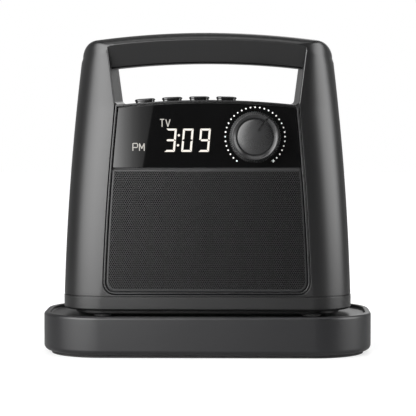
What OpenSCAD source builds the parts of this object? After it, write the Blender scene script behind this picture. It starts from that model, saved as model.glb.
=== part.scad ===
// Portable table speaker with a clock display, a carrying handle and a charging cradle.
// Frame: +Z up, front faces -Y, origin on the table under the middle of the cradle. Millimetres.

/* [Housing] */
// Width of the housing across its foot
body_w = 190.8; // [170:0.2:230]
// Depth of the housing at its foot
body_d = 72; // [64:1:88]
// Height of the whole object, from the table to the crown of the handle
total_h = 211.4; // [205:0.2:255]
// Radius of the upright corners of the housing
corner_r = 26.5; // [20:0.5:28]
// Wall thickness of the two housing shells
wall = 2.8; // [2:0.1:3.4]
// Lean of the side walls at the foot, in degrees
side_lean = 1.37; // [0:0.01:3]
// Radius of the gentle bow of the side walls
side_bow_r = 1672; // [1200:1:4000]
// Lean of the front face, in degrees
front_lean = 2; // [0:0.5:4]
// Lean of the rear face, in degrees
rear_lean = 5; // [2:0.5:6]
// Radius of the shallow arch that the crown, the handle and the deck share
arch_r = 540; // [400:10:900]
// Radius of the two shoulders
shoulder_r = 12; // [6:0.5:16]
// Drop of the crown's rounding at its front and rear edges
crown_drop = 6.2; // [3:0.2:8]
// Where the front shell meets the rear shell, behind the middle of the depth
split_y = 6; // [2:0.5:8]

/* [Handle] */
// Thickness of the handle bar
handle_t = 20; // [16:0.5:26]
// How far the handle's front and rear faces lean back from the housing's faces at their lower edge
handle_set = 9; // [0:0.5:12]
// Clear height under the handle, where the fingers go
grip_h = 24; // [22:0.5:34]
// Outward flare of the pillars beside the handle opening, in degrees
pillar_flare = 7.2; // [0:0.2:9]
// Radius of the corners of the handle opening
grip_corner_r = 3.5; // [1:0.5:6]
// Draft of the handle opening's side walls, in degrees
grip_draft = 2.2; // [0:0.2:4]

/* [Front] */
// Flat land between the housing's rounded corner and the window or handle opening
land = 0.3; // [0.2:0.1:1]
// Dark groove between the housing and the bezel
groove = 0.5; // [0.3:0.1:1]
// Width of the bezel strip
bezel_w = 1.2; // [1:0.1:2.5]
// Gap between the bezel and the panels inside it
panel_gap = 0.8; // [0.4:0.1:1.5]
// Height of the display panel at its middle
panel_h = 42.1; // [38:0.1:52]
// Thickness of the display panel
panel_t = 2.2; // [1.5:0.1:3]
// How far the display panel sits behind the housing's front face
panel_sink = 0.4; // [0:0.1:1]
// Gap between the display panel and the grille
seam = 1.2; // [0.6:0.1:2]
// Thickness of the metal grille
grille_t = 1.0; // [0.6:0.1:1.5]
// Radius of the lower corners of the bezel
bezel_corner_r = 8; // [4:0.5:12]
// Thickness of the baffle behind the bezel
baffle_t = 2.5; // [2:0.1:4]

/* [Knob] */
// Diameter of the volume knob at its skirt
knob_d = 33.8; // [26:0.1:42]
// Height of the volume knob in front of the display panel
knob_h = 11; // [8:0.5:14]
// Diameter of the domed cap in the knob
knob_cap_d = 23.2; // [16:0.1:24]
// Distance from the edge of the knob to the right edge of the display panel
knob_margin = 11.1; // [4:0.1:20]
// Height of the knob's axis above the lower edge of the display panel
knob_up = 20; // [17:0.1:30]
// Clockwise angle of the knob's pointer from straight up, in degrees
pointer_angle = 33.7; // [-142:0.1:142]
// Diameter of the volume control's shaft
shaft_d = 6; // [4:0.5:7]

/* [Buttons] */
// Length of each button
button_l = 13.4; // [10:0.2:16.5]
// Depth of each button, front to back
button_w = 7; // [5:0.2:9]
// Height of each button above the deck
button_h = 2.5; // [1.5:0.1:4]
// Distance from one button to the next
button_pitch = 17.8; // [17:0.1:20]
// Distance from the first button to the side of the handle opening
button_margin = 13.4; // [8:0.2:20]
// Distance from the front of the deck to the buttons' middle
button_back = 12; // [9:0.5:16]
// Travel of each button
button_travel = 0.8; // [0.4:0.1:1.2]

/* [Inside] */
// Outer diameter of the loudspeaker's frame
driver_d = 76; // [60:1:78]
// Depth of the loudspeaker behind the baffle
driver_depth = 30; // [22:1:31]
// Width of the battery pack
battery_w = 70; // [50:1:90]
// Height of the battery pack
battery_h = 44; // [36:1:56]
// Thickness of the battery pack
battery_t = 18; // [14:0.5:19]
// Thickness of the circuit boards
board_t = 1.6; // [1:0.1:2]
// Diameter of the headphone socket's bore
socket_d = 3.6; // [2.6:0.1:6.4]

/* [Cradle] */
// How far the cradle stands out around the housing
base_margin = 13.3; // [8:0.1:20]
// Height of the cradle's rim above the table
base_h = 27.3; // [24:0.1:40]
// Depth of the recess that the housing stands in
recess_depth = 2.3; // [1.5:0.1:3]
// Width of the rim around the recess
rim_w = 4; // [3:0.1:7]
// Height of the rubber foot
foot_h = 2; // [1:0.1:4]
// Wall thickness of the cradle
base_wall = 3; // [2:0.1:4]
// Distance between the two charging pins
pin_pitch = 14; // [10:0.5:24]
// Travel of the charging pins
pin_travel = 1; // [0.5:0.1:1.2]

/* [Clearances] */
// Gap between the cradle and what stands in it
seat_gap = 0.3; // [0.1:0.1:0.6]
// Gap between a moving part and the part around it
run_gap = 0.3; // [0.2:0.05:0.6]
// Radial clearance of a shaft or a pin in its bore
shaft_gap = 0.05; // [0.02:0.01:0.1]
// Radial clearance of a screw in its hole
screw_gap = 0.05; // [0.02:0.01:0.2]

/* [Hidden] */

$fn = 48;
eps = 0.02;

// Crease between the crown and the handle's faces, below the top of the arch
crease_down = 4.9;

// Heights, from the table up
floor_z = base_h - recess_depth;
unit_foot_t = 1.3;
plinth_z = floor_z + seat_gap + unit_foot_t;
ring_gap = 2.3;
unit_z = base_h + ring_gap;
ring_h = 9.1;
ring_seam = 0.5;
seam_z = unit_z + ring_h + ring_seam;
deck_z = total_h - handle_t - grip_h;
flare_z = deck_z - 4;

// Heights on the front face, measured up the face from the seam
deck_f = deck_z - seam_z;
bezel_inset = land + groove;
panel_inset = bezel_inset + bezel_w + panel_gap;
window_low = 1;
bezel_low = window_low + groove;
panel_top = deck_f - bezel_w - panel_gap;
panel_low = panel_top - panel_h;
grille_top = panel_low - seam;
grille_low = bezel_low + bezel_w + panel_gap;
grille_corner_r = bezel_corner_r - bezel_w - panel_gap;
driver_up = (grille_top + grille_low) / 2;
panel_back = panel_sink + panel_t;
grille_sink = 0.6;
baffle_d = panel_back + 2;
baffle_back = baffle_d + baffle_t;

// Outline of the housing. Half its width, and half the width of its flat front, at a height z.
function half_width(z) =
    body_w / 2 - (z - unit_z) * tan(side_lean) - pow(z - unit_z, 2) / (2 * side_bow_r);
function flat_half(z) =
    half_width(min(z, flare_z)) - corner_r + max(0, z - flare_z) * tan(pillar_flare);
function front_y(z) = -body_d / 2 + (z - seam_z) * tan(front_lean);
function rear_y(z) = body_d / 2 - (z - seam_z) * tan(rear_lean);
function arch_drop(x) = arch_r - sqrt(arch_r * arch_r - x * x);

// One elliptical corner of a plan section, as points
corner_steps = 7;
function corner_points(cx, cy, rx, ry, start) =
    [for (i = [0 : corner_steps])
        let (a = start + 90 * i / corner_steps) [cx + rx * cos(a), cy + ry * sin(a)]];

// Plan section of the housing at a height z, drawn in by an inset
function plan_points(z, inset) =
    let (
        hw = half_width(z) - inset,
        rx = hw - flat_half(z),
        yf = front_y(z) + inset,
        yr = rear_y(z) - inset,
        ry = min(corner_r - inset, (yr - yf) / 2 - 0.5)
    )
    concat(
        corner_points(hw - rx, yr - ry, rx, ry, 0),
        corner_points(rx - hw, yr - ry, rx, ry, 90),
        corner_points(rx - hw, yf + ry, rx, ry, 180),
        corner_points(hw - rx, yf + ry, rx, ry, 270)
    );

// Heights of the loft's sections: even steps to the flare, then even steps to above the crown
low_steps = 6;
high_steps = 3;
function loft_heights(low) = concat(
    [for (i = [0 : low_steps]) low + (flare_z - low) * i / low_steps],
    [for (i = [1 : high_steps]) flare_z + (total_h + 1 - flare_z) * i / high_steps]
);

// Hull of several outlines that have the same number of points, one behind the other
module ring_hull(rings) {
    n = len(rings[0]);
    last = len(rings) - 1;
    hull() polyhedron(
        points = [for (ring = rings, point = ring) point],
        faces = concat(
            [[for (k = [0 : n - 1]) k]],
            [[for (k = [n - 1 : -1 : 0]) last * n + k]],
            [for (r = [0 : last - 1], k = [0 : n - 1])
                [r * n + k, (r + 1) * n + k, (r + 1) * n + (k + 1) % n, r * n + (k + 1) % n]]
        )
    );
}

// The housing's body is a stack of slabs, each between two plan sections
module loft(inset, low) {
    heights = loft_heights(low);
    for (i = [0 : len(heights) - 2])
        ring_hull([for (z = [heights[i], heights[i + 1]])
            [for (p = plan_points(z, inset)) [p[0], p[1], z]]]);
}

// Front view of the housing at a depth y, under an arch that is lowered by a drop: half the outline
// is the foot, the shoulder's round and the arch, and the other half mirrors it
function crown_half(inset, drop) =
    let (
        spare = 0.3,
        top = total_h - inset - drop,
        r = shoulder_r - inset,
        cx = half_width(top - r) - inset + spare - r,
        cz = top - arch_r + sqrt(pow(arch_r - r, 2) - cx * cx),
        first = asin(half_width(cz - r) - half_width(cz + r) > 0
            ? (half_width(cz - r) - half_width(cz + r)) / (2 * r) : 0),
        final = 90 - asin(cx / (arch_r - r)),
        edge_x = cx + r * cos(final)
    )
    concat(
        [[half_width(0) + spare, 0]],
        [for (i = [0 : 5]) let (a = first + (final - first) * i / 5) [cx + r * cos(a), cz + r * sin(a)]],
        [for (i = [1 : 5]) let (x = edge_x * (1 - i / 6)) [x, top - arch_drop(x)]]
    );
function crown_ring(inset, drop, y) =
    let (right = crown_half(inset, drop), top = total_h - inset - drop)
    [for (p = concat(right, [[0, top]], [for (i = [len(right) - 1 : -1 : 0]) [-right[i][0], right[i][1]]]))
        [p[0], y, p[1]]];

// Rounds the crown's front and rear edges: the hull of outlines, each under a lower arch than the last
module crown(inset) {
    spare = 0.4;
    edge = 10;
    steps = 4;
    yf = front_y(total_h) + inset - spare;
    yr = rear_y(total_h) - inset + spare;
    ring_hull(concat(
        [crown_ring(inset, 60, -body_d)],
        [for (i = [0 : steps]) let (a = 90 * i / steps)
            crown_ring(inset, crown_drop * (1 - sin(a)), yf + edge * (1 - cos(a)))],
        [for (i = [steps : -1 : 0]) let (a = 90 * i / steps)
            crown_ring(inset, crown_drop * (1 - sin(a)), yr - edge * (1 - cos(a)))],
        [crown_ring(inset, 60, body_d)]
    ));
}

// Outline of the handle opening without the deck's arch, grown outwards by a wall where the hollow
// inside has to stop short of it
module grip_outline(grow, narrower) {
    high = total_h + 4;
    low = deck_z - 12;
    under = total_h - handle_t;
    under_half = flat_half(under) - land + grow - narrower;
    top_half = under_half + (high - under) * tan(pillar_flare);
    low_half = under_half - (under - low) * tan(pillar_flare);
    arch = [for (i = [0 : 12]) let (x = top_half * (1 - i / 6)) [x, high + grow - arch_drop(x)]];
    offset(r = grip_corner_r, $fn = 24) offset(delta = -grip_corner_r)
        polygon(concat([[low_half, low]], arch, [[-low_half, low]]));
}

// Section of the handle bar at a distance from the middle, drawn in by a wall: its front and rear
// faces start at the crease under the crown and lean back to a softened lower edge
function bar_ring(x, inset) =
    let (
        low = total_h - handle_t,
        crease = total_h - crease_down,
        top = total_h + 9,
        soft = 1.5,
        front_slope = (front_y(low) + handle_set - front_y(crease)) / (crease - low),
        rear_slope = (rear_y(crease) - rear_y(low) + handle_set) / (crease - low),
        drop = arch_drop(x),
        front = [for (z = [top, low + soft]) [front_y(crease) + (crease - z) * front_slope + inset, z]],
        rear = [for (z = [top, low + soft]) [rear_y(crease) - (crease - z) * rear_slope - inset, z]]
    )
    [for (p = [
        front[0], [front[1][0], front[1][1] + inset], [front[1][0] + soft, low + inset],
        [rear[1][0] - soft, low + inset], [rear[1][0], rear[1][1] + inset], rear[0]
    ]) [x, p[0], p[1] - drop]];

module handle_bar(inset) {
    n = 12;
    for (i = [0 : n - 1])
        ring_hull([for (k = [i, i + 1]) bar_ring((body_w / 2 + 1) * (2 * k / n - 1), inset)]);
}

// The opening's side walls close in towards the rear by the draft
module grip_opening(grow) {
    reach = body_d + 4;
    deck = [for (i = [0 : 12]) let (x = body_w * (1 - i / 6) / 2) [x, deck_z - grow - arch_drop(x)]];
    difference() {
        hull() for (y = [-reach / 2, reach / 2])
            translate([0, y, 0]) rotate([90, 0, 0]) linear_extrude(0.4)
                grip_outline(grow, (y + reach / 2) * tan(grip_draft));
        translate([0, reach, 0]) rotate([90, 0, 0]) linear_extrude(2 * reach)
            polygon(concat(deck, [[-body_w / 2, 0], [body_w / 2, 0]]));
        handle_bar(grow);
    }
}

// Places what it holds on the front face: X across, Y into the housing, Z up the face
module on_front() {
    translate([0, -body_d / 2, seam_z]) rotate([-front_lean, 0, 0]) children();
}

// Places what it holds on the rear face: X across, Y out of the housing, Z up the face
module on_rear() {
    translate([0, body_d / 2, seam_z]) rotate([rear_lean, 0, 0]) children();
}

// Outline on the front face: the housing's flat front, drawn in by an inset
function side_x(h, inset) = flat_half(seam_z + h) - inset;
function right_side(inset, low, high, r) =
    let (steps = 6, x0 = side_x(low + r, inset) - r)
    concat(
        [for (i = [0 : 4]) let (a = 270 + 90 * i / 4) [x0 + r * cos(a), low + r + r * sin(a)]],
        [for (i = [1 : steps])
            let (h = low + r + (high - low - r) * i / steps) [side_x(h, inset), h]]
    );
function other_side(points) =
    [for (i = [len(points) - 1 : -1 : 0]) [-points[i][0], points[i][1]]];
function flat_topped(inset, low, high, r) =
    let (right = right_side(inset, low, high, r)) concat(right, other_side(right));
function arch_topped(inset, low, top, r) =
    let (
        half = side_x(top, inset),
        right = right_side(inset, low, top - arch_drop(half), r),
        steps = 12,
        arch = [for (i = [1 : steps - 1])
            let (x = half * (1 - 2 * i / steps)) [x, top - arch_drop(x)]]
    )
    concat(right, arch, other_side(right));

// A plate on the front face, from one depth to another
module front_plate(points, from, to) {
    translate([0, to, 0]) rotate([90, 0, 0]) linear_extrude(to - from) polygon(points);
}

// Axis of the knob, on the front face
knob_r = knob_d / 2;
knob_x = side_x(panel_low + knob_up, panel_inset) - knob_margin - knob_r;
knob_f = panel_low + knob_up;

// Screw posts that hold the shells together: distance from the middle, and height
post_r = 4;
post_places = [[half_width(seam_z + 13) - 19, seam_z + 13], [half_width(flare_z - 13) - 18, flare_z - 13]];
post_seat_y = split_y + 6;
screw_r = 1.5;
screw_head_r = 2.8;

// Screw posts of the bottom cover: at the sides of the housing, one in each shell
cover_post_x = half_width(seam_z) - wall - 2.5;
cover_post_y = [-14, 17];
cover_post_h = 14;

// Battery bay, on the rear face
bay_low = 8;
bay_gap = 1;
door_t = 2.5;
door_w = battery_w + 4;
door_h = battery_h + 4;
door_pin_r = 0.8;
door_pin_l = 1.5;

// Headphone socket, on the rear shell
socket_x = -(battery_w / 2 + 20);
socket_z = seam_z + 34;
socket_len = 14;
socket_nose_r = 3.8;

module shell_solid() {
    difference() {
        intersection() {
            loft(0, seam_z);
            crown(0);
        }
        difference() {
            intersection() {
                loft(wall, seam_z - 1);
                crown(wall);
            }
            grip_opening(wall);
            screw_posts();
        }
        grip_opening(0);
    }
}

module screw_posts($fn = 20) {
    for (side = [-1, 1], place = post_places)
        translate([side * place[0], body_d / 2, place[1]]) rotate([90, 0, 0])
            cylinder(r = post_r, h = body_d);
    for (side = [-1, 1], y = cover_post_y)
        translate([side * cover_post_x, y, seam_z - 1]) cylinder(r = post_r, h = cover_post_h + 1);
}

module screw_holes($fn = 16) {
    for (side = [-1, 1], place = post_places)
        translate([side * place[0], 0, place[1]]) rotate([-90, 0, 0]) {
            translate([0, 0, -9]) cylinder(r = screw_r + screw_gap, h = body_d);
            translate([0, 0, post_seat_y]) cylinder(r = screw_head_r + run_gap, h = body_d);
        }
    for (side = [-1, 1], y = cover_post_y)
        translate([side * cover_post_x, y, seam_z - 2]) cylinder(r = screw_r + screw_gap, h = 11);
}

// A slot-shaped outline, drawn in or out by a change of radius
module pill(length, width, grow) {
    r = width / 2 + grow;
    for (side = [-1, 1]) translate([side * (length - width) / 2, 0]) circle(r);
    square([length - width, 2 * r], center = true);
}

// Buttons stand on the deck's arch: what it holds is turned about the arch's centre
function button_x(i) = -flat_half(deck_z) + button_margin + button_l / 2 + i * button_pitch;
button_y = front_y(deck_z) + button_back;
module at_button(i) {
    tilt = asin(button_x(i) / arch_r);
    translate([0, button_y, deck_z - arch_r]) rotate([0, tilt, 0])
        translate([0, 0, arch_r]) children();
}

// The battery door turns on two short pins that stand out of its ends, near its lower edge
module door_pins(gap) {
    on_rear() translate([-door_w / 2 - door_pin_l - gap, -door_t / 2, bay_low - 2 + door_t / 2])
        rotate([0, 90, 0]) cylinder(r = door_pin_r + gap, h = door_w + 2 * (door_pin_l + gap));
}

module front_shell() {
    color("#2b2b2e") difference() {
        intersection() {
            shell_solid();
            translate([-body_w, -body_d, 0]) cube([2 * body_w, body_d + split_y, total_h + 5]);
        }
        on_front() front_plate(arch_topped(land, window_low, deck_f + 1.5, bezel_corner_r),
            -5, baffle_d);
        screw_holes();
        for (i = [0 : 3]) at_button(i) translate([0, 0, -wall - 4])
            linear_extrude(wall + 6, $fn = 24) pill(button_l - 2, button_w - 2, run_gap);
    }
}

module rear_shell() {
    color("#2b2b2e") difference() {
        intersection() {
            shell_solid();
            translate([-body_w, split_y, 0]) cube([2 * body_w, body_d, total_h + 5]);
        }
        screw_holes();
        on_rear() translate([-door_w / 2 - run_gap, -wall - 1, bay_low - 2 - run_gap])
            cube([door_w + 2 * run_gap, wall + 3, door_h + 2 * run_gap]);
        door_pins(shaft_gap);
        translate([socket_x, 0, socket_z]) rotate([-90, 0, 0])
            cylinder(r = socket_nose_r + screw_gap, h = body_d);
    }
}

// A rounded rectangle, built from squares and circles so that it keeps true round corners
module rounded(w, d, r) {
    square([w - 2 * r, d], center = true);
    square([w, d - 2 * r], center = true);
    for (x = [-1, 1], y = [-1, 1])
        translate([x * (w / 2 - r), y * (d / 2 - r)]) circle(r);
}

module foot_plan(inset) {
    rounded(body_w - 2 * inset, body_d - 2 * inset, corner_r - inset);
}

module cover_layer(inset, from, to) {
    translate([0, 0, from]) linear_extrude(to - from) foot_plan(inset);
}

cover_floor = 2.4;
plinth_inset = 8;
cover_wall = 2.6;
module bottom_cover() {
    color("#262629") difference() {
        union() {
            difference() {
                union() {
                    cover_layer(0, unit_z, unit_z + ring_h);
                    cover_layer(1.1, unit_z, seam_z);
                    cover_layer(plinth_inset, plinth_z, unit_z + eps);
                }
                cover_layer(1.1 + cover_wall, unit_z + cover_floor, seam_z + 1);
                cover_layer(plinth_inset + cover_wall, plinth_z + cover_floor, seam_z + 1);
            }
            for (x = [-1, 1], y = cover_post_y)
                translate([x * cover_post_x, y, unit_z]) cylinder(r = post_r + 1, h = seam_z - unit_z);
        }
        for (x = [-1, 1], y = cover_post_y) translate([x * cover_post_x, y, unit_z - 1]) {
            cylinder(r = screw_r + screw_gap, h = ring_h + 4);
            cylinder(r = screw_head_r + run_gap, h = 5);
        }
        for (x = [-1, 1]) translate([x * pin_pitch / 2, 0, plinth_z - 1]) cylinder(r = 3, h = 5);
    }
}

unit_foot_r = 6;
module unit_feet() {
    color("#141414") for (x = [-1, 1], y = [-1, 1])
        translate([x * (body_w / 2 - corner_r), y * (body_d / 2 - 15), plinth_z - unit_foot_t])
            cylinder(r = unit_foot_r, h = unit_foot_t);
}

module contact_pads() {
    color("#c9a24a") for (x = [-1, 1]) translate([x * pin_pitch / 2, 0, plinth_z - 0.1])
        cylinder(r = 3 - screw_gap, h = 3);
}

module bezel() {
    color("#333337") on_front() difference() {
        front_plate(arch_topped(bezel_inset, bezel_low, deck_f, bezel_corner_r - groove),
            -0.2, baffle_d);
        front_plate(arch_topped(bezel_inset + bezel_w, bezel_low + bezel_w, deck_f - bezel_w,
            bezel_corner_r - groove - bezel_w), -1, baffle_d + 1);
    }
}

display_w = 52;
display_h = 21.5;
display_x = knob_x - knob_r - 26;
display_low = panel_low + 7.5;
module display_hole(grow, from, to) {
    translate([display_x - display_w / 2 - grow, from, display_low - grow])
        cube([display_w + 2 * grow, to - from, display_h + 2 * grow]);
}

module baffle() {
    baffle_top = deck_f - wall - 2;
    color("#1c1c1e") on_front() difference() {
        union() {
            front_plate(arch_topped(-3, bezel_low + 0.8, baffle_top, 4), baffle_d, baffle_back);
            difference() {
                front_plate(arch_topped(panel_inset + 1, grille_low + 1, baffle_top, 5),
                    panel_back, baffle_d + eps);
                front_plate(flat_topped(panel_inset + 3.5, grille_low + 3.5, grille_top - 2, 4),
                    panel_back - 1, baffle_d);
                front_plate(flat_topped(panel_inset + 3.5, panel_low + 2, baffle_top - 6, 1),
                    panel_back - 1, baffle_d);
            }
        }
        translate([0, baffle_d - 1, driver_up]) rotate([-90, 0, 0])
            cylinder(r = driver_d / 2 - 3.5, h = baffle_t + 2);
        display_hole(run_gap, panel_back - 1, baffle_back + 1);
        translate([knob_x, panel_back - 1, knob_f]) rotate([-90, 0, 0])
            cylinder(r = shaft_d / 2 + 1.2, h = 10);
        for (a = [45 : 90 : 315]) translate([0, baffle_d - 1, driver_up])
            rotate([0, a, 0]) translate([0, 0, driver_hole_r]) rotate([-90, 0, 0])
                cylinder(r = screw_r + screw_gap, h = baffle_t + 2);
    }
}

module display_panel() {
    color("#0a0a0b") on_front() difference() {
        front_plate(arch_topped(panel_inset, panel_low, panel_top, 0.6), panel_sink, panel_back);
        translate([knob_x, panel_sink - 1, knob_f]) rotate([-90, 0, 0])
            cylinder(r = shaft_d / 2 + 0.8, h = panel_t + 2);
    }
}

module display_module() {
    color("#17171a") on_front() display_hole(0, panel_back + 0.1, baffle_back + 2.5);
}

module grille() {
    color("#3a3a3c") on_front() front_plate(
        flat_topped(panel_inset, grille_low, grille_top, grille_corner_r),
        grille_sink, grille_sink + grille_t);
}

module grille_cloth() {
    color("#101011") on_front() front_plate(
        flat_topped(panel_inset + 0.4, grille_low + 0.4, grille_top - 0.4, grille_corner_r),
        grille_sink + grille_t, panel_back);
}

// The loudspeaker is turned so that its own +Z runs into the housing
driver_hole_r = driver_d / 2 - 1.9;
flange_t = 1.5;
magnet_t = 11;
module at_driver() {
    on_front() translate([0, baffle_back, driver_up]) rotate([-90, 0, 0]) children();
}

basket_depth = driver_depth - magnet_t;
cone_r = driver_d / 2 - 4.5;
module speaker_basket() {
    hub_r = 17;
    color("#55565a") at_driver() difference() {
        rotate_extrude() polygon([
            [cone_r, 0], [driver_d / 2, 0], [driver_d / 2, flange_t],
            [cone_r + 1.2, flange_t], [hub_r + 2.5, basket_depth], [11, basket_depth],
            [11, basket_depth - 1.5], [hub_r + 1, basket_depth - 1.5], [cone_r, flange_t + 0.3]
        ]);
        for (a = [45 : 90 : 315]) rotate([0, 0, a]) translate([driver_hole_r, 0, -1])
            cylinder(r = screw_r + screw_gap, h = flange_t + 2);
    }
}

module speaker_cone() {
    edge_r = cone_r - 0.1;
    color("#26262a") at_driver() rotate_extrude() polygon([
        [edge_r, 0.4], [edge_r, 1.4], [edge_r - 3, 2], [9.5, basket_depth - 4], [0, basket_depth - 7],
        [0, basket_depth - 8], [9.8, basket_depth - 5], [edge_r - 3.4, 0.9]
    ]);
}

module speaker_magnet() {
    color("#6d6e72") at_driver() translate([0, 0, basket_depth]) difference() {
        cylinder(r = 24, h = magnet_t);
        translate([0, 0, -1]) cylinder(r = 5, h = magnet_t + 2);
    }
}

// A pan-head screw: its head's underside at the origin, its shank along +Z
module screw(length, r, head_r) {
    cylinder(r = r, h = length);
    translate([0, 0, -2]) difference() {
        cylinder(r = head_r, h = 2);
        translate([-head_r, -0.4, -1]) cube([2 * head_r, 0.8, 1.8]);
    }
}

module driver_screws() {
    color("#9a9ca0") at_driver() for (a = [45 : 90 : 315])
        rotate([0, 0, a]) translate([driver_hole_r, 0, flange_t]) rotate([180, 0, 0])
            screw(flange_t + baffle_t - 0.3, screw_r, 2.4);
}

board_d = baffle_back + 11;
module main_board() {
    low = driver_up + driver_d / 2 - 1;
    high = deck_f - 17;
    half = side_x(high, 0) - 4;
    color("#1f5a38") on_front() translate([-half, board_d, low])
        cube([2 * half, board_t, high - low]);
}

module volume_control() {
    body_r = 8.5;
    color("#8d8f93") on_front() translate([knob_x, 0, knob_f]) rotate([-90, 0, 0]) difference() {
        union() {
            translate([0, 0, baffle_back + 0.5]) cylinder(r = body_r, h = board_d - baffle_back - 0.5);
            translate([0, 0, baffle_d]) cylinder(r = shaft_d / 2 + 1, h = baffle_back - baffle_d + 1);
        }
        translate([0, 0, baffle_d - 1]) cylinder(r = shaft_d / 2 + shaft_gap, h = 12);
    }
}

module volume_shaft() {
    color("#b9bbbf") on_front() translate([knob_x, 0, knob_f]) rotate([-90, 0, 0])
        translate([0, 0, panel_sink - knob_h + 4]) cylinder(r = shaft_d / 2, h = knob_h + baffle_d + 4.5);
}

// The knob stands on its own +Z, which points out of the front face
module at_knob() {
    on_front() translate([knob_x, panel_sink, knob_f]) rotate([90, 0, 0]) children();
}

knob_lift = 0.8;
knob_cap_r = knob_cap_d / 2;
knob_rim_r = knob_r - 2.1;
knob_seat = knob_h - 3.4;
module pointer_groove() {
    inner = knob_cap_r * 0.37;
    outer = knob_rim_r + 0.4;
    rotate([0, 0, -pointer_angle]) translate([-0.7, inner, knob_seat + 1.2])
        cube([1.4, outer - inner, knob_h]);
}

module knob() {
    color("#2e2e31") at_knob() difference() {
        rotate_extrude() polygon([
            [0, knob_lift + 2.5], [knob_r - 2.5, knob_lift + 2.5], [knob_r - 2.5, knob_lift],
            [knob_r, knob_lift], [knob_rim_r + 0.3, knob_h - 0.6], [knob_rim_r - 0.2, knob_h],
            [knob_cap_r + 0.2, knob_h - 2.2], [knob_cap_r + 0.2, knob_seat], [0, knob_seat]
        ]);
        pointer_groove();
        cylinder(r = shaft_d / 2, h = knob_h - 4);
    }
}

module knob_cap() {
    dome = 1.1;
    top = knob_h - 0.9;
    steps = 8;
    color("#303034") at_knob() difference() {
        rotate_extrude() polygon(concat(
            [[0, knob_seat], [knob_cap_r, knob_seat]],
            [for (i = [0 : steps]) let (x = knob_cap_r * (1 - i / steps))
                [x, top - dome * pow(x / knob_cap_r, 2)]]
        ));
        pointer_groove();
    }
}

// Buttons, their switches and the board under the deck
switch_h = 3.6;
switch_tip = 0.8;
button_board_z = deck_z - 14;
module button(i) {
    foot = deck_z - arch_drop(button_x(i)) - button_board_z - board_t - switch_h - switch_tip
        - button_travel - 0.15;
    color("#0c0c0d") at_button(i) {
        translate([0, 0, button_travel + 0.1])
            linear_extrude(button_h - button_travel - 0.1) pill(button_l, button_w, 0);
        translate([0, 0, -wall - 1]) linear_extrude(wall + 1 + button_travel + 0.1)
            pill(button_l - 2, button_w - 2, 0);
        translate([0, 0, -foot]) cylinder(r = 1.8, h = foot);
    }
}
module button_1() { button(0); }
module button_2() { button(1); }
module button_3() { button(2); }
module button_4() { button(3); }

module button_board() {
    color("#1f5a38") translate([button_x(0) - button_l / 2, button_y - 4.2, button_board_z])
        cube([3 * button_pitch + button_l, 12, board_t]);
}

module button_switches() {
    color("#8a8c90") for (i = [0 : 3])
        translate([button_x(i), button_y, button_board_z + board_t]) {
            translate([-3, -3, 0]) cube([6, 6, switch_h]);
            cylinder(r = 1.6, h = switch_h + switch_tip);
        }
}

module battery_tray() {
    t = 1.5;
    w = battery_w + 2 * bay_gap;
    h = battery_h + 2 * bay_gap;
    depth = battery_t + bay_gap;
    color("#232326") on_rear() translate([-w / 2, -wall - depth - 0.2, bay_low])
        difference() {
            translate([-t, -t, -t]) cube([w + 2 * t, depth + t, h + 2 * t]);
            cube([w, depth + 2, h]);
        }
}

module battery_pack() {
    color("#2f5d9b") on_rear()
        translate([-battery_w / 2, -wall - battery_t - 0.4, bay_low + bay_gap])
            cube([battery_w, battery_t, battery_h]);
}

module battery_door() {
    color("#2b2b2e") {
        on_rear() translate([-door_w / 2, -door_t, bay_low - 2]) difference() {
            union() {
                translate([0, 0, door_t / 2]) cube([door_w, door_t, door_h - door_t / 2]);
                translate([0, door_t / 2, door_t / 2]) rotate([0, 90, 0])
                    cylinder(r = door_t / 2, h = door_w);
            }
            for (i = [0 : 3]) translate([door_w / 2 - 10, door_t - 0.6, door_h - 6 - 2.4 * i])
                cube([20, 2, 1.2]);
        }
        door_pins(0);
    }
}

socket_mouth = rear_y(socket_z) - 0.4;
module headphone_jack() {
    body_y = socket_mouth - wall - 1.4;
    color("#1a1a1c") translate([socket_x, 0, socket_z]) difference() {
        union() {
            translate([-5.5, socket_mouth - socket_len - 2, -5])
                cube([11, body_y - (socket_mouth - socket_len - 2), 10]);
            translate([0, socket_mouth, 0]) rotate([90, 0, 0]) cylinder(r = socket_nose_r, h = 6);
        }
        translate([0, socket_mouth + 1, 0]) rotate([90, 0, 0])
            cylinder(r = socket_d / 2, h = socket_len + 1);
    }
}

module shell_screws() {
    color("#9a9ca0") for (side = [-1, 1], place = post_places)
        translate([side * place[0], post_seat_y, place[1]]) rotate([90, 0, 0])
            screw(18, screw_r, screw_head_r);
}

module cover_screws() {
    color("#9a9ca0") for (side = [-1, 1], y = cover_post_y)
        translate([side * cover_post_x, y, unit_z + 4]) screw(13, screw_r, screw_head_r);
}

// Cradle
base_w = body_w + 2 * base_margin;
base_d = body_d + 2 * base_margin + 1.4;
base_r = corner_r + base_margin - 0.5;
floor_t = 2.5;
tray_post_r = 4.5;
plate_t = 2.5;
tray_posts = [base_w / 2 - 28, base_d / 2 - 22];

module base_layer(inset, from, to) {
    translate([0, 0, from]) linear_extrude(to - from)
        rounded(base_w - 2 * inset, base_d - 2 * inset, base_r - inset);
}

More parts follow.
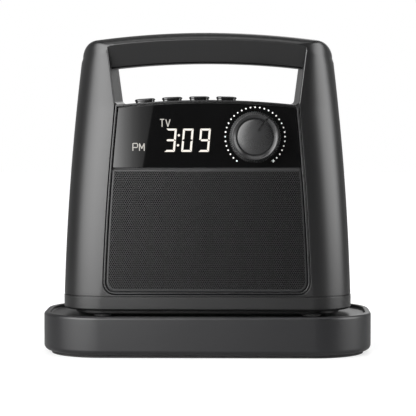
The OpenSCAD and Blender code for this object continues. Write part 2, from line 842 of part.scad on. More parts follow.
dc_z = foot_h + plate_t + 1.5 + board_t + 5.5;
dc_r = 4;
module base_tray() {
    color("#2b2b2e") difference() {
        union() {
            difference() {
                base_layer(0, foot_h, base_h);
                base_layer(rim_w, floor_z, base_h + 1);
                base_layer(base_wall, foot_h - 1, floor_z - floor_t);
            }
            for (x = [-1, 1], y = [-1, 1])
                translate([x * tray_posts[0], y * tray_posts[1], foot_h + plate_t])
                    cylinder(r = tray_post_r, h = floor_z - floor_t - foot_h - plate_t + eps);
        }
        for (x = [-1, 1], y = [-1, 1])
            translate([x * tray_posts[0], y * tray_posts[1], foot_h])
                cylinder(r = screw_r + screw_gap, h = 13);
        for (x = [-1, 1]) translate([x * pin_pitch / 2, 0, floor_z - floor_t - 1])
            cylinder(r = pin_r + 0.4, h = floor_t + 2);
        translate([0, base_d / 2 + 1, dc_z]) rotate([90, 0, 0])
            cylinder(r = dc_r + screw_gap, h = base_wall + 3);
    }
}

module base_plate() {
    color("#1f1f21") difference() {
        base_layer(base_wall + 0.2, foot_h, foot_h + plate_t);
        for (x = [-1, 1], y = [-1, 1]) translate([x * tray_posts[0], y * tray_posts[1], foot_h - 1]) {
            cylinder(r = screw_r + screw_gap, h = plate_t + 2);
            cylinder(r = screw_head_r + run_gap, h = 2.5);
        }
    }
}

foot_inset = 5;
foot_band = 6;
module base_foot() {
    color("#111112") difference() {
        base_layer(foot_inset, 0, foot_h);
        base_layer(foot_inset + foot_band, -1, foot_h + 1);
    }
}

base_board_z = foot_h + plate_t + 1.5;
module base_board() {
    color("#1f5a38") difference() {
        translate([-36, -14, base_board_z]) cube([72, base_d / 2 - base_wall - 2 + 14, board_t]);
        for (x = [-1, 1]) translate([x * 30, 0, base_board_z - 1]) cylinder(r = 1.6, h = board_t + 2);
    }
}

module dc_jack() {
    bore_r = 2.85;
    depth = 9.5;
    inside = base_d / 2 - base_wall - 0.3;
    color("#161618") {
        translate([0, 0, dc_z]) difference() {
            union() {
                translate([-4.5, inside - 13, -5.5]) cube([9, 13, 11]);
                translate([0, base_d / 2 - 0.4, 0]) rotate([90, 0, 0]) cylinder(r = dc_r, h = base_wall + 1);
            }
            translate([0, base_d / 2 + 1, 0]) rotate([90, 0, 0]) cylinder(r = bore_r, h = depth + 1);
        }
        translate([0, base_d / 2 - 2, dc_z]) rotate([90, 0, 0]) cylinder(r = 1, h = depth);
    }
}

pin_r = 1.5;
pin_top = plinth_z - 0.3;
pin_block_h = 10;
pin_low = floor_z - floor_t - 5;
module pin_block() {
    w = pin_pitch + 12;
    top = floor_z - floor_t;
    color("#18181a") difference() {
        translate([-w / 2, -6, top - pin_block_h]) cube([w, 12, pin_block_h]);
        for (x = [-1, 1]) translate([x * pin_pitch / 2, 0, pin_low - pin_travel - 2.5])
            cylinder(r = pin_r + shaft_gap, h = pin_block_h);
    }
}

module charge_pin(side) {
    color("#c9a24a") translate([side * pin_pitch / 2, 0, 0]) {
        translate([0, 0, pin_low]) cylinder(r = pin_r, h = pin_top - 0.5 - pin_low);
        translate([0, 0, pin_top - 0.5]) cylinder(r1 = pin_r, r2 = pin_r - 0.5, h = 0.5);
    }
}
module charge_pin_left() { charge_pin(-1); }
module charge_pin_right() { charge_pin(1); }

module base_screws() {
    color("#9a9ca0") for (x = [-1, 1], y = [-1, 1])
        translate([x * tray_posts[0], y * tray_posts[1], foot_h + 1.5])
            screw(11, screw_r, screw_head_r - 0.2);
}

front_shell();
rear_shell();
bottom_cover();
unit_feet();
bezel();
baffle();
display_panel();
display_module();
grille();
grille_cloth();
speaker_basket();
speaker_cone();
speaker_magnet();
driver_screws();
main_board();
volume_control();
button_board();
button_switches();
battery_tray();
battery_pack();
battery_door();
headphone_jack();
contact_pads();
shell_screws();
cover_screws();
volume_shaft();
knob();
knob_cap();
button_1();
button_2();
button_3();
button_4();
base_tray();
base_plate();
base_foot();
base_board();
dc_jack();
pin_block();
charge_pin_left();
charge_pin_right();
base_screws();
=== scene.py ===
# %% [markdown]
# # A portable table speaker with a clock, a carrying handle and a charging cradle
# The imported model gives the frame: every piece has its place, and every moving piece its joint.
# This lesson builds the looks around it. Shapes are worked out in millimetres, as on a drawing,
# and become metres in one place only, where a mesh is made.

# %% Load the frame
import math
import bmesh
import bpy
import numpy as np
from mathutils import Matrix, Vector


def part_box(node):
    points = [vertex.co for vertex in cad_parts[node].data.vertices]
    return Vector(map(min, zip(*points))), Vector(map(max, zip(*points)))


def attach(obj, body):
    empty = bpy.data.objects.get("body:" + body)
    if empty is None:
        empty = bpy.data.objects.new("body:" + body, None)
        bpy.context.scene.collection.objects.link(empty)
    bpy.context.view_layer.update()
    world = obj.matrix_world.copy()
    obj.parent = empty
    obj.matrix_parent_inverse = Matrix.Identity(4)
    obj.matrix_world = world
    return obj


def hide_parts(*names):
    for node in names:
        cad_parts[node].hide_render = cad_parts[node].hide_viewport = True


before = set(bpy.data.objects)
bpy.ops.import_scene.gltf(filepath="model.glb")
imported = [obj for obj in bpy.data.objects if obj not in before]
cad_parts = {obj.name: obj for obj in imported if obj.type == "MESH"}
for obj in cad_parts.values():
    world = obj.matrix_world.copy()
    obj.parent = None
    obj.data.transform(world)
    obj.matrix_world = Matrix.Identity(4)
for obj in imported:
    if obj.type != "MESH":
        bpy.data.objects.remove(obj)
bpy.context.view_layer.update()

MM = 0.001

# %% [markdown]
# ## The driving sizes
# The large sizes are read from the frame, so that the looks follow the model. The small ones,
# such as the radius of a moulded edge, are the finish that the plain model leaves out.

# %% Sizes
def box_mm(node):
    low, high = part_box(node)
    return [v / MM for v in low], [v / MM for v in high]


cover_low, cover_high = box_mm("bottom_cover")
tray_low, tray_high = box_mm("base_tray")
body_w = cover_high[0] - cover_low[0]
body_d = cover_high[1] - cover_low[1]
base_w = tray_high[0] - tray_low[0]
base_d = tray_high[1] - tray_low[1]
plinth_z = cover_low[2]
seam_z = cover_high[2]
foot_z = tray_low[2]
base_z = tray_high[2]
recess_depth = ring_gap = 2.3
floor_z = base_z - recess_depth
unit_z = base_z + ring_gap
total_h = box_mm("front_shell")[1][2]

wall = 2.8
corner_r = 26.5
base_r = 39.3
side_lean = math.radians(1.37)
side_bow_r = 1672
front_lean = math.radians(2)
rear_lean = math.radians(5)
arch_r = 540
shoulder_r = 12
split_y = 6
handle_t = 20
grip_h = 24
pillar_flare = math.radians(7.2)
deck_z = total_h - handle_t - grip_h
flare_z = deck_z - 4
deck_f = deck_z - seam_z
print(f"housing {body_w:.1f} x {body_d:.1f}, top {total_h:.1f}, cradle {base_w:.1f} x {base_d:.1f} mm")

# %% [markdown]
# ## The faces as formulas
# The housing leans and bows a little on every side. A few functions say where its faces are at
# any height, so that the shells, the bezel, the panels and the lights on them all agree.

# %% Faces of the housing
def half_width(z):
    return body_w / 2 - (z - unit_z) * math.tan(side_lean) - (z - unit_z) ** 2 / (2 * side_bow_r)


def flat_half(z):
    flare = max(0, z - flare_z) * math.tan(pillar_flare)
    return half_width(min(z, flare_z)) - corner_r + flare


def front_y(z):
    return -body_d / 2 + (z - seam_z) * math.tan(front_lean)


def rear_y(z):
    return body_d / 2 - (z - seam_z) * math.tan(rear_lean)


def arch_drop(x):
    return arch_r - math.sqrt(arch_r ** 2 - x ** 2)


def on_front(x, into, up):
    """A place on the front face: across, into the housing and up the face."""
    y = -body_d / 2 + into * math.cos(front_lean) + up * math.sin(front_lean)
    z = seam_z - into * math.sin(front_lean) + up * math.cos(front_lean)
    return (x, y, z)


def on_rear(x, out, up):
    """A place on the rear face: across, out of the housing and up the face."""
    y = body_d / 2 + out * math.cos(rear_lean) - up * math.sin(rear_lean)
    z = seam_z + out * math.sin(rear_lean) + up * math.cos(rear_lean)
    return (x, y, z)


def side_x(up, inset):
    return flat_half(seam_z + up) - inset


# %% [markdown]
# ## From points to finished pieces
# Each piece is a mesh with its place in its vertices. One helper makes it from points in
# millimetres, one applies modifiers, and one hands it to the frame with its body, the plain
# nodes that it stands for and its material.

# %% Mesh helpers
def collect(obj):
    bpy.context.scene.collection.objects.link(obj)
    return obj


def solid(name, points, faces):
    mesh = bpy.data.meshes.new(name)
    mesh.from_pydata([tuple(c * MM for c in p) for p in points], [], faces)
    mesh.validate()
    mesh.update()
    return collect(bpy.data.objects.new(name, mesh))


def settle(obj):
    """Applies every modifier on a piece."""
    camera_glow_painted_shadow = obj.evaluated_get(bpy.context.evaluated_depsgraph_get())
    mesh = bpy.data.meshes.new_from_object(camera_glow_painted_shadow)
    obj.modifiers.clear()
    old, obj.data = obj.data, mesh
    bpy.data.meshes.remove(old)
    obj.data.name = obj.name
    return obj


def discard(obj):
    mesh = obj.data
    bpy.data.objects.remove(obj)
    bpy.data.meshes.remove(mesh)


def combine(obj, tool, operation="DIFFERENCE"):
    """Cuts a tool out of a piece, or joins or intersects the two, and throws the tool away."""
    step = obj.modifiers.new(operation.lower(), "BOOLEAN")
    step.operation = operation
    step.solver = "EXACT"
    step.object = tool
    settle(obj)
    discard(tool)
    return obj


def merge(name, parts):
    """One piece out of several closed ones that don't touch."""
    points, faces = [], []
    for part in parts:
        start = len(points)
        points += [tuple(c / MM for c in v.co) for v in part.data.vertices]
        faces += [[start + k for k in p.vertices] for p in part.data.polygons]
        discard(part)
    return solid(name, points, faces)


def smooth(obj, angle=32, weighted=True):
    """Smooth shading with sharp edges past an angle, and large flat faces kept flat."""
    obj.data.polygons.foreach_set("use_smooth", [True] * len(obj.data.polygons))
    obj.data.set_sharp_from_angle(angle=math.radians(angle))
    if weighted:
        step = obj.modifiers.new("even_normals", "WEIGHTED_NORMAL")
        step.keep_sharp = True
        step.weight = 100
        settle(obj)
    return obj


def hand_over(obj, body, material, nodes=()):
    obj.data.materials.clear()
    obj.data.materials.append(material)
    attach(obj, body)
    if nodes:
        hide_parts(*nodes)
    print(f"{obj.name}: {len(obj.data.vertices)} points, rides on {body}")
    return obj


# %% Outline helpers
def arc(cx, cz, r, start, stop, steps):
    turn = [math.radians(start + (stop - start) * i / steps) for i in range(steps + 1)]
    return [(cx + r * math.cos(a), cz + r * math.sin(a)) for a in turn]


def circle(radius, steps=32):
    return arc(0, 0, radius, 0, 360, steps)[:-1]


def rounded_plan(width, depth, radius, steps=20):
    """A rounded rectangle as points, anticlockwise."""
    x, y = width / 2 - radius, depth / 2 - radius
    corners = [(x, -y, -90), (x, y, 0), (-x, y, 90), (-x, -y, 180)]
    return [p for cx, cy, a in corners for p in arc(cx, cy, radius, a, a + 90, steps)]


def filleted(points, steps=6):
    """Rounds the corners of a closed outline whose points are (x, z, radius)."""
    out = []
    for i, (x, z, r) in enumerate(points):
        here = Vector((x, z))
        before = Vector(points[i - 1][:2]) - here
        after = Vector(points[(i + 1) % len(points)][:2]) - here
        if r <= 0:
            out.append((x, z))
            continue
        half = before.angle(after) / 2
        reach = r / math.tan(half)
        centre = here + (before.normalized() + after.normalized()).normalized() * (r / math.sin(half))
        a = here + before.normalized() * reach - centre
        b = here + after.normalized() * reach - centre
        turn = a.angle_signed(b)
        for k in range(steps + 1):
            out.append(tuple(centre + Matrix.Rotation(-turn * k / steps, 2) @ a))
    return out


def grown(points, amount):
    """A closed outline moved outwards along its normals; it runs anticlockwise."""
    p = np.array(points)
    edge = np.roll(p, -1, axis=0) - p
    edge /= np.linalg.norm(edge, axis=1)[:, None]
    side = np.stack([edge[:, 1], -edge[:, 0]], axis=1)
    normal = side + np.roll(side, 1, axis=0)
    normal /= np.linalg.norm(normal, axis=1)[:, None]
    share = np.maximum((normal * side).sum(axis=1), 0.3)
    return [tuple(q) for q in p + normal * (amount / share)[:, None]]


def out_faces(obj):
    """Turns a closed mesh's faces outwards if its volume comes out negative."""
    bm = bmesh.new()
    bm.from_mesh(obj.data)
    bmesh.ops.remove_doubles(bm, verts=bm.verts, dist=1e-7)
    bmesh.ops.recalc_face_normals(bm, faces=bm.faces)
    if bm.calc_volume(signed=True) < 0:
        bmesh.ops.reverse_faces(bm, faces=bm.faces)
    bm.to_mesh(obj.data)
    bm.free()
    return obj


def lofted(name, rings, looped=False):
    """A solid through rings of points with the same count: capped, or looped back on itself."""
    n, last = len(rings[0]), len(rings) - 1
    points = [p for ring in rings for p in ring]
    faces = []
    for r in range(len(rings) if looped else last):
        a, b = r * n, (r + 1) % len(rings) * n
        faces += [[a + k, a + (k + 1) % n, b + (k + 1) % n, b + k] for k in range(n)]
    if not looped:
        faces.append(list(range(n))[::-1])
        faces.append([last * n + k for k in range(n)])
    return out_faces(solid(name, points, faces))


def block(name, low, high):
    (x0, y0, z0), (x1, y1, z1) = low, high
    points = [(x, y, z) for x in (x0, x1) for y in (y0, y1) for z in (z0, z1)]
    faces = [(0, 1, 3, 2), (4, 6, 7, 5), (0, 4, 5, 1), (2, 3, 7, 6), (0, 2, 6, 4), (1, 5, 7, 3)]
    return out_faces(solid(name, points, faces))


def turned(name, profile, place, steps=48):
    """A solid of revolution: the profile is (radius, height) from axis to axis."""
    points, faces, rows = [], [], []
    for r, h in profile:
        if r < 1e-6:
            rows.append([len(points)])
            points.append((0, 0, h))
        else:
            rows.append([len(points) + k for k in range(steps)])
            turn = [2 * math.pi * k / steps for k in range(steps)]
            points += [(r * math.cos(a), r * math.sin(a), h) for a in turn]
    for a, b in zip(rows, rows[1:]):
        for k in range(steps):
            j = (k + 1) % steps
            if len(a) == 1:
                faces.append([a[0], b[k], b[j]])
            elif len(b) == 1:
                faces.append([a[k], b[0], a[j]])
            else:
                faces.append([a[k], b[k], b[j], a[j]])
    return out_faces(solid(name, [place(*p) for p in points], faces))


# %% [markdown]
# ## The housing's outer skin
# Seen from the front, the housing has two outlines. The outer one is its silhouette: bowed sides,
# rounded shoulders and a shallow arch. The inner one is the border of its flat face. The skin
# is a grid between them: one direction runs along the outline, the other turns from the flat
# front through an elliptical corner, back over the side and round to the flat rear. A grid like
# this is smoother than cutting and rounding a block, and one formula gives both shells.

# %% Outlines of the skin
crown_edge = 10
crease_drop = 4.6
crease_r = 5
crown_crease = math.radians(14)
side_crease = math.radians(8)


def outline_pair(inset):
    """Silhouette, face border and corner share (1 at the sides, 0 on the crown) from left to right."""
    top = total_h - inset
    r = shoulder_r - inset
    cx = half_width(top - r) - inset - r
    cz = top - arch_r + math.sqrt((arch_r - r) ** 2 - cx ** 2)
    end = 90 - math.degrees(math.asin(cx / (arch_r - r)))
    border_z = total_h - crease_drop - inset * 0.6
    border_x = flat_half(border_z - crease_r)
    low = seam_z + edge_r - inset
    rows = []
    for i in range(56):
        z = low + (cz - low) * i / 56
        face_z = low + (border_z - crease_r - arch_drop(border_x) - low) * i / 56
        rows.append(((half_width(z) - inset, z), (flat_half(face_z), face_z), 1.0))
    for i in range(16):
        t = i / 16
        a = math.radians(end * t)
        outer = (cx + r * math.cos(a), cz + r * math.sin(a))
        b = math.radians(90 * t)
        face_x = border_x - crease_r + crease_r * math.cos(b)
        face_z = border_z - crease_r - arch_drop(border_x) + crease_r * math.sin(b)
        rows.append((outer, (face_x, face_z), 0.5 + 0.5 * math.cos(math.pi * t)))
    outer_x = cx + r * math.cos(math.radians(end))
    inner_x = border_x - crease_r
    for i in range(41):
        x, face_x = outer_x * (1 - i / 40), inner_x * (1 - i / 40)
        rows.append(((x, top - arch_drop(x)), (face_x, border_z - arch_drop(face_x)), 0.0))
    mirror = [((-s[0], s[1]), (-f[0], f[1]), c) for s, f, c in rows[:-1]]
    return mirror + rows[::-1]


# %% Grid of the skin
edge_r = 0.3


def skin(name, inset=0.0, turn_steps=18):
    """A closed solid: the housing's skin drawn in by an inset, with flat caps."""
    columns = outline_pair(inset)
    rows = []
    for (sx, sz), (fx, fz), share in columns:
        depth = crown_edge + (corner_r - 1 - crown_edge) * share - inset
        first = crown_crease + (side_crease - crown_crease) * share
        yf, yr = front_y(fz) + inset, rear_y(fz) - inset
        turn = [first + (math.pi / 2 - first) * k / turn_steps for k in range(turn_steps + 1)]
        out = [(math.sin(a) - math.sin(first)) / (1 - math.sin(first)) for a in turn]
        back = [1 - math.cos(a) / math.cos(first) for a in turn]
        front = [(fx + (sx - fx) * o, yf + depth * b, fz + (sz - fz) * o) for o, b in zip(out, back)]
        rear = [(fx + (sx - fx) * o, yr - depth * b, fz + (sz - fz) * o) for o, b in zip(out, back)]
        middle = [(sx, (front[-1][1] + rear[-1][1]) / 2, sz)]
        rows.append(front + middle + rear[::-1])
    n, m = len(rows), len(rows[0])
    points = [p for row in rows for p in row]
    faces = [[i * m + j, i * m + j + 1, (i + 1) * m + j + 1, (i + 1) * m + j]
             for i in range(n - 1) for j in range(m - 1)]
    faces.append([i * m for i in range(n)])
    faces.append([i * m + m - 1 for i in range(n)][::-1])
    foot = [j for j in range(m)] + [(n - 1) * m + j for j in range(m - 1, -1, -1)]
    ring = [points[k] for k in foot]
    plan = [(p[0], p[1]) for p in ring]
    for k in range(1, 5):
        a = math.pi / 2 * k / 4
        shrunk = grown(plan, edge_r * (1 - math.cos(a)))
        start = len(points)
        points += [(x, y, ring[0][2] - edge_r * math.sin(a)) for x, y in shrunk]
        faces += [[foot[q], foot[(q + 1) % len(foot)], start + (q + 1) % len(foot), start + q]
                  for q in range(len(foot))]
        foot = list(range(start, len(points)))
    faces.append(foot)
    return out_faces(solid(name, points, faces))


outer = skin("outer_skin")
print("skin", len(outer.data.vertices), "points", [round(v / MM, 1) for v in outer.dimensions])

# %% [markdown]
# ## The handle opening
# Fingers go through here, so the real moulding has no sharp edge. The cutter is a loft through
# the opening's outline, and its two ends flare out on a quarter circle. Cutting with a flared
# tool rounds the rim in the same step, where a bevel afterwards would trip over the fine grid.

# %% Cutter for the handle opening
grip_top_r = 3.5
grip_low_r = 2.6
grip_rim = 1.2
handle_set, handle_low_r = 9, 2.6
crease_down, crease_soft, crease_start = 4.9, 1.6, math.radians(9)
land = 0.3


def grip_outline(narrower):
    high = total_h + 4
    under = total_h - handle_t
    half = flat_half(under) - land - narrower + (high - under) * math.tan(pillar_flare)

    def corner(z):
        return half - (high - z) * math.tan(pillar_flare)

    top_x = corner(high - arch_drop(half))
    low_x = corner(deck_z - arch_drop(corner(deck_z)))
    shares = [1 - 2 * i / 14 for i in range(1, 14)]
    low = [(-low_x * t, deck_z - arch_drop(low_x * t), 0) for t in shares]
    top = [(top_x * t, high - arch_drop(top_x * t), 0) for t in shares]
    low_corner = deck_z - arch_drop(low_x)
    top_corner = high - arch_drop(top_x)
    return filleted(
        [(-low_x, low_corner, grip_low_r)] + low + [(low_x, low_corner, grip_low_r)]
        + [(top_x, top_corner, grip_top_r)] + top + [(-top_x, top_corner, grip_top_r)])


def rim(radius, depth, steps=5):
    """Growth and depth of a hole whose mouth is rounded, from outside inwards."""
    turn = [math.pi / 2 * (1 - k / steps) for k in range(steps + 1)]
    mouth = [(radius + 0.3, -6), (radius + 0.3, -0.03)]
    return mouth + [(radius - radius * math.cos(a), radius - radius * math.sin(a)) for a in turn] \
        + [(0, depth)]


def handle_bar(name, inset):
    """The handle bar between the pillars: its faces lean back from the crease to a round lower edge."""
    low, crease, r = total_h - handle_t, total_h - crease_down, handle_low_r
    top = total_h + 12
    rows = []
    for face_y, way in ((front_y, 1), (rear_y, -1)):
        slope = math.atan2(way * (face_y(low) - face_y(crease)) + handle_set, crease - low)
        mid = crease_soft * math.tan((slope - crease_start) / 2)
        x, z = mid * math.sin(crease_start), crease - mid * math.cos(crease_start)
        row = [(-7.0, crease + 0.5), (-0.02, crease + 0.02)]
        row += [(x * (1 - t) ** 2 + 2 * x * t * (1 - t) + t * t * 2 * mid * math.sin(slope),
                 crease * (1 - t) ** 2 + 2 * t * (1 - t) * z + t * t * (z - mid * math.cos(slope)))
                for t in (0.25, 0.5, 0.75, 1.0)]
        centre = r + (crease - low - r) * math.tan(slope)
        row += [(centre - r * math.cos(a), low + r - r * math.sin(a))
                for a in [slope + (math.pi / 2 - slope) * k / 7 for k in range(8)]]
        rows.append([(face_y(crease) + way * (y + inset), z + (inset if i > 4 else 0))
                     for i, (y, z) in enumerate(row)])
    section = rows[0] + rows[1][::-1] + [(rows[1][0][0], top), (rows[0][0][0], top)]
    count = 60
    places = [body_w * 0.52 * (2 * k / count - 1) for k in range(count + 1)]
    return lofted(name, [[(x, y, z - arch_drop(x)) for y, z in section] for x in places])


def grip_tool(name, growth=0.0):
    front = [[(x, front_y(z) + into, z) for x, z in grown(grip_outline(0.3), growth + g)]
             for g, into in rim(grip_rim, grip_rim + 1)]
    rear = [[(x, rear_y(z) - into, z) for x, z in grown(grip_outline(2.3), growth + g)]
            for g, into in rim(grip_rim, grip_rim + 1)]
    return combine(lofted(name, front + rear[::-1]), handle_bar("bar", growth))


# %% [markdown]
# ## Cutters on the front and the rear
# Everything on the front face is drawn across and up that face, then pushed into it. A profile
# gives the growth of the outline at each depth, so that one loft makes a rounded rim, a plate
# with softened edges, or a frame whose profile closes on itself.

# %% Shapes on the leaning faces
def front_outline(inset, low, top, radius, top_radius=0.0, arched=True):
    half = side_x(top, inset)
    corner_up = top - (arch_drop(half) if arched else 0)
    ups = [low + (corner_up - low) * i / 7 for i in range(8)]
    right = [(side_x(up, inset), up, 0) for up in ups]
    right[0] = (right[0][0], low, radius)
    right[-1] = (side_x(corner_up, inset), corner_up, top_radius)
    x = right[-1][0]
    arch = [(x * t, top - arch_drop(x * t), 0) for t in (1 - 2 * i / 16 for i in range(1, 16))]
    left = [(-p[0], p[1], p[2]) for p in right[::-1]]
    return filleted(right + (arch if arched else []) + left)


def on_face(place, outline, profile):
    return [[place(x, depth, up) for x, up in grown(outline, growth)] for growth, depth in profile]


def edge_round(front, radius):
    """A quarter circle that rounds a front edge, as (growth, depth) points."""
    return [(-radius * (1 - math.cos(a)), front + radius * (1 - math.sin(a)))
            for a in (math.pi / 2 * k / 4 for k in range(5))]


def softened(front, back, radius):
    """Profile of a plate with a rounded front edge, from its back to its front."""
    return [(0, back)] + edge_round(front, radius)


def outwards(x, depth, up):
    return on_rear(x, -depth, up)


window_low = 1.0
bezel_low = 1.5
bezel_w = 1.2
bezel_r = 7.5
baffle_depth = 4.6
window_rim = 0.35
window = lofted("window", on_face(
    on_front, front_outline(land, window_low, deck_f + 1.5, bezel_r + 0.5),
    rim(window_rim, baffle_depth)))

door_low, door_high = 6.0, 54.0
door_half = 37.0
gap = 0.3
door_hole = lofted("door_hole", on_face(
    outwards, [(x, z + (door_low + door_high) / 2) for x, z in
               rounded_plan(2 * (door_half + gap), door_high - door_low + 2 * gap, 0.8, 4)],
    rim(0.35, wall + 2)))

# %% Screw seats, socket hole and button holes
post_places = [(half_width(seam_z + 13) - 19, seam_z + 13), (half_width(flare_z - 13) - 18, flare_z - 13)]
seat_y = split_y + 6
head_r = 2.8
socket_x, socket_z = -55.0, seam_z + 34
socket_nose_r = 3.8
button_l, button_w, button_pitch = 13.4, 7.0, 17.8
stem_inset = -0.45
button_y = front_y(deck_z) + 12
button_xs = [-flat_half(deck_z) + 13.4 + button_l / 2 + i * button_pitch for i in range(4)]


def rear_bore(name, x, z, radius, start_y):
    """A round cutter along the depth with a softened mouth on the leaning rear face."""
    hole = circle(radius)
    rings = [[(x + u, start_y, z + v) for u, v in hole]]
    rings += [[(x + u, rear_y(z + v) - into, z + v) for u, v in grown(hole, g)]
              for g, into in rim(0.4, 1.0)[::-1]]
    return lofted(name, rings)


def pill(length, width, steps=12):
    x = (length - width) / 2
    return arc(x, 0, width / 2, -90, 90, steps) + arc(-x, 0, width / 2, 90, 270, steps)


def at_button(i, u, v, up):
    """A place above button i's middle: the deck is an arch, so each button leans a little."""
    tilt = math.asin(button_xs[i] / arch_r)
    x = u * math.cos(tilt) + (arch_r + up) * math.sin(tilt)
    z = -u * math.sin(tilt) + (arch_r + up) * math.cos(tilt) + deck_z - arch_r
    return (x, button_y + v, z)


bores = [rear_bore("bore", side * x, z, head_r + gap, seat_y) for x, z in post_places
         for side in (-1, 1)]
bores.append(rear_bore("bore", socket_x, socket_z, socket_nose_r + 0.05, 20))
key_hole = grown(pill(button_l, button_w), stem_inset + gap)
holes = [lofted("hole", [[at_button(i, u, v, up) for u, v in key_hole] for up in (-8, 6)])
         for i in range(4)]
tools = merge("tools", bores + holes)
print("cutters ready:", len(tools.data.vertices), "points")

# %% [markdown]
# ## Two shells
# The real housing is moulded as a front and a rear shell that meet behind the middle. First the
# skin is hollowed by a second skin one wall further in, less the wall around the handle opening.
# Then a shallow groove is cut all round where the shells meet, and the whole is split there:
# the groove is the fine dark line that gives away a moulded product.

# %% Hollow, openings and the split line
def hollow_core(name, inset):
    core = skin(name, inset, 10)
    return combine(core, grip_tool("grip_wall", inset))


housing = combine(outer, hollow_core("core", wall))
combine(housing, grip_tool("grip"))
combine(housing, window)
combine(housing, door_hole)
combine(housing, tools)

groove_w, groove_depth = 0.3, 0.4
slab = block("slab", (-200, split_y - groove_w / 2, 0), (200, split_y + groove_w / 2, 300))
combine(slab, hollow_core("inside_groove", groove_depth))
combine(housing, slab)
print("housing", len(housing.data.vertices), "points")

# %% Split into the front and rear shells
rear = housing.copy()
rear.data = housing.data.copy()
rear.name = "rear_shell_skin"
collect(rear)
housing.name = "front_shell_skin"
combine(housing, block("half", (-200, split_y, 0), (200, 200, 300)))
combine(rear, block("half", (-200, -200, 0), (200, split_y, 300)))
for shell in (housing, rear):
    smooth(shell, 30)
    print(shell.name, len(shell.data.vertices), "points")

# %% [markdown]
# ## Bezel, display panel and grille border
# The front opening holds three parts in one plane: a thin bezel frame whose top edge is also the
# front lip of the deck, a glossy black panel, and the metal grille. The bezel is one loft whose
# profile closes on itself, the other two are plates with softened edges.

# %% Bezel and panel
panel_gap = 0.8
panel_inset = land + 0.5 + bezel_w + panel_gap
panel_sink, panel_t = 0.4, 2.2
panel_top = deck_f - bezel_w - panel_gap
panel_low = panel_top - 42.1
bezel_front, bezel_round = -0.2, 0.35
lip = edge_round(bezel_front, bezel_round)
bezel_profile = [(0, baffle_depth)] + lip + [(-bezel_w - growth, depth) for growth, depth in lip[::-1]]
bezel_profile += [(-bezel_w, baffle_depth)]
bezel = smooth(lofted("bezel_frame", on_face(
    on_front, front_outline(land + 0.5, bezel_low, deck_f, bezel_r), bezel_profile), looped=True))

panel = lofted("display_glass", on_face(
    on_front, front_outline(panel_inset, panel_low, panel_top, 0.6, 0.3),
    softened(panel_sink, panel_sink + panel_t, 0.25)))

knob_r = 16.9
knob_up = panel_low + 20
knob_x = side_x(knob_up, panel_inset) - 11.1 - knob_r


def at_knob(u, v, out):
    """A place on the knob: right and up from its axis, and out of the panel."""
    return on_front(knob_x + u, panel_sink - out, knob_up + v)


combine(panel, turned("shaft_hole", [(0, 2), (3.8, 2), (3.8, -4), (0, -4)], at_knob))
smooth(panel)
print("bezel and panel ready; knob axis at", round(knob_x, 2), round(knob_up, 2))

# %% [markdown]
# ## The perforated grille
# About ten thousand holes stand in a staggered pattern, so this is work for Geometry Nodes. The
# tree lays out a grid of points, shifts every second row by half a step, keeps the points that
# lie over the sheet's outline, and puts a small hexagon with a hole on each. Merged, the hexagons
# are one sheet, which is then given its thickness. A solid border hides the jagged rim.

# %% Helpers for node trees
def new_tree(name, kind, inputs=(), outputs=()):
    tree = bpy.data.node_groups.new(name, kind)
    for label, socket, value in inputs:
        item = tree.interface.new_socket(label, in_out="INPUT", socket_type=socket)
        if value is not None:
            item.default_value = value
    for label, socket in outputs:
        tree.interface.new_socket(label, in_out="OUTPUT", socket_type=socket)
    return tree


def put(tree, kind, links=(), **settings):
    """Adds a node: settings are its properties, links are (input, value or output socket)."""
    node = tree.nodes.new(kind)
    for key, value in settings.items():
        setattr(node, key, value)
    for key, value in links:
        if isinstance(value, bpy.types.NodeSocket):
            tree.links.new(value, node.inputs[key])
        else:
            node.inputs[key].default_value = value
    return node


def sums(tree, operation, a, b=None):
    links = [(0, a)] + ([(1, b)] if b is not None else [])
    return put(tree, "ShaderNodeMath", links, operation=operation).outputs[0]


def times(tree, a, b):
    return sums(tree, "MULTIPLY", a, b)


def plus(tree, a, b):
    return sums(tree, "ADD", a, b)


def close_tree(tree, geometry, material):
    """Ends a geometry tree: plain geometry, with its material."""
    plain = put(tree, "GeometryNodeRealizeInstances", [("Geometry", geometry)])
    painted = put(tree, "GeometryNodeSetMaterial", [("Geometry", plain.outputs[0]), ("Material", material)])
    put(tree, "NodeGroupOutput", [(0, painted.outputs[0])])
    return tree


def object_place(tree):
    return put(tree, "ShaderNodeTexCoord").outputs["Object"]


def run_tree(obj, tree, values):
    """Puts a tree on a piece, sets its inputs by identifier, and keeps the plain result."""
    step = obj.modifiers.new(tree.name, "NODES")
    step.node_group = tree
    for item in tree.interface.items_tree:
        if item.in_out == "INPUT" and item.name in values:
            step[item.identifier] = values[item.name]
    settle(obj)
    return obj


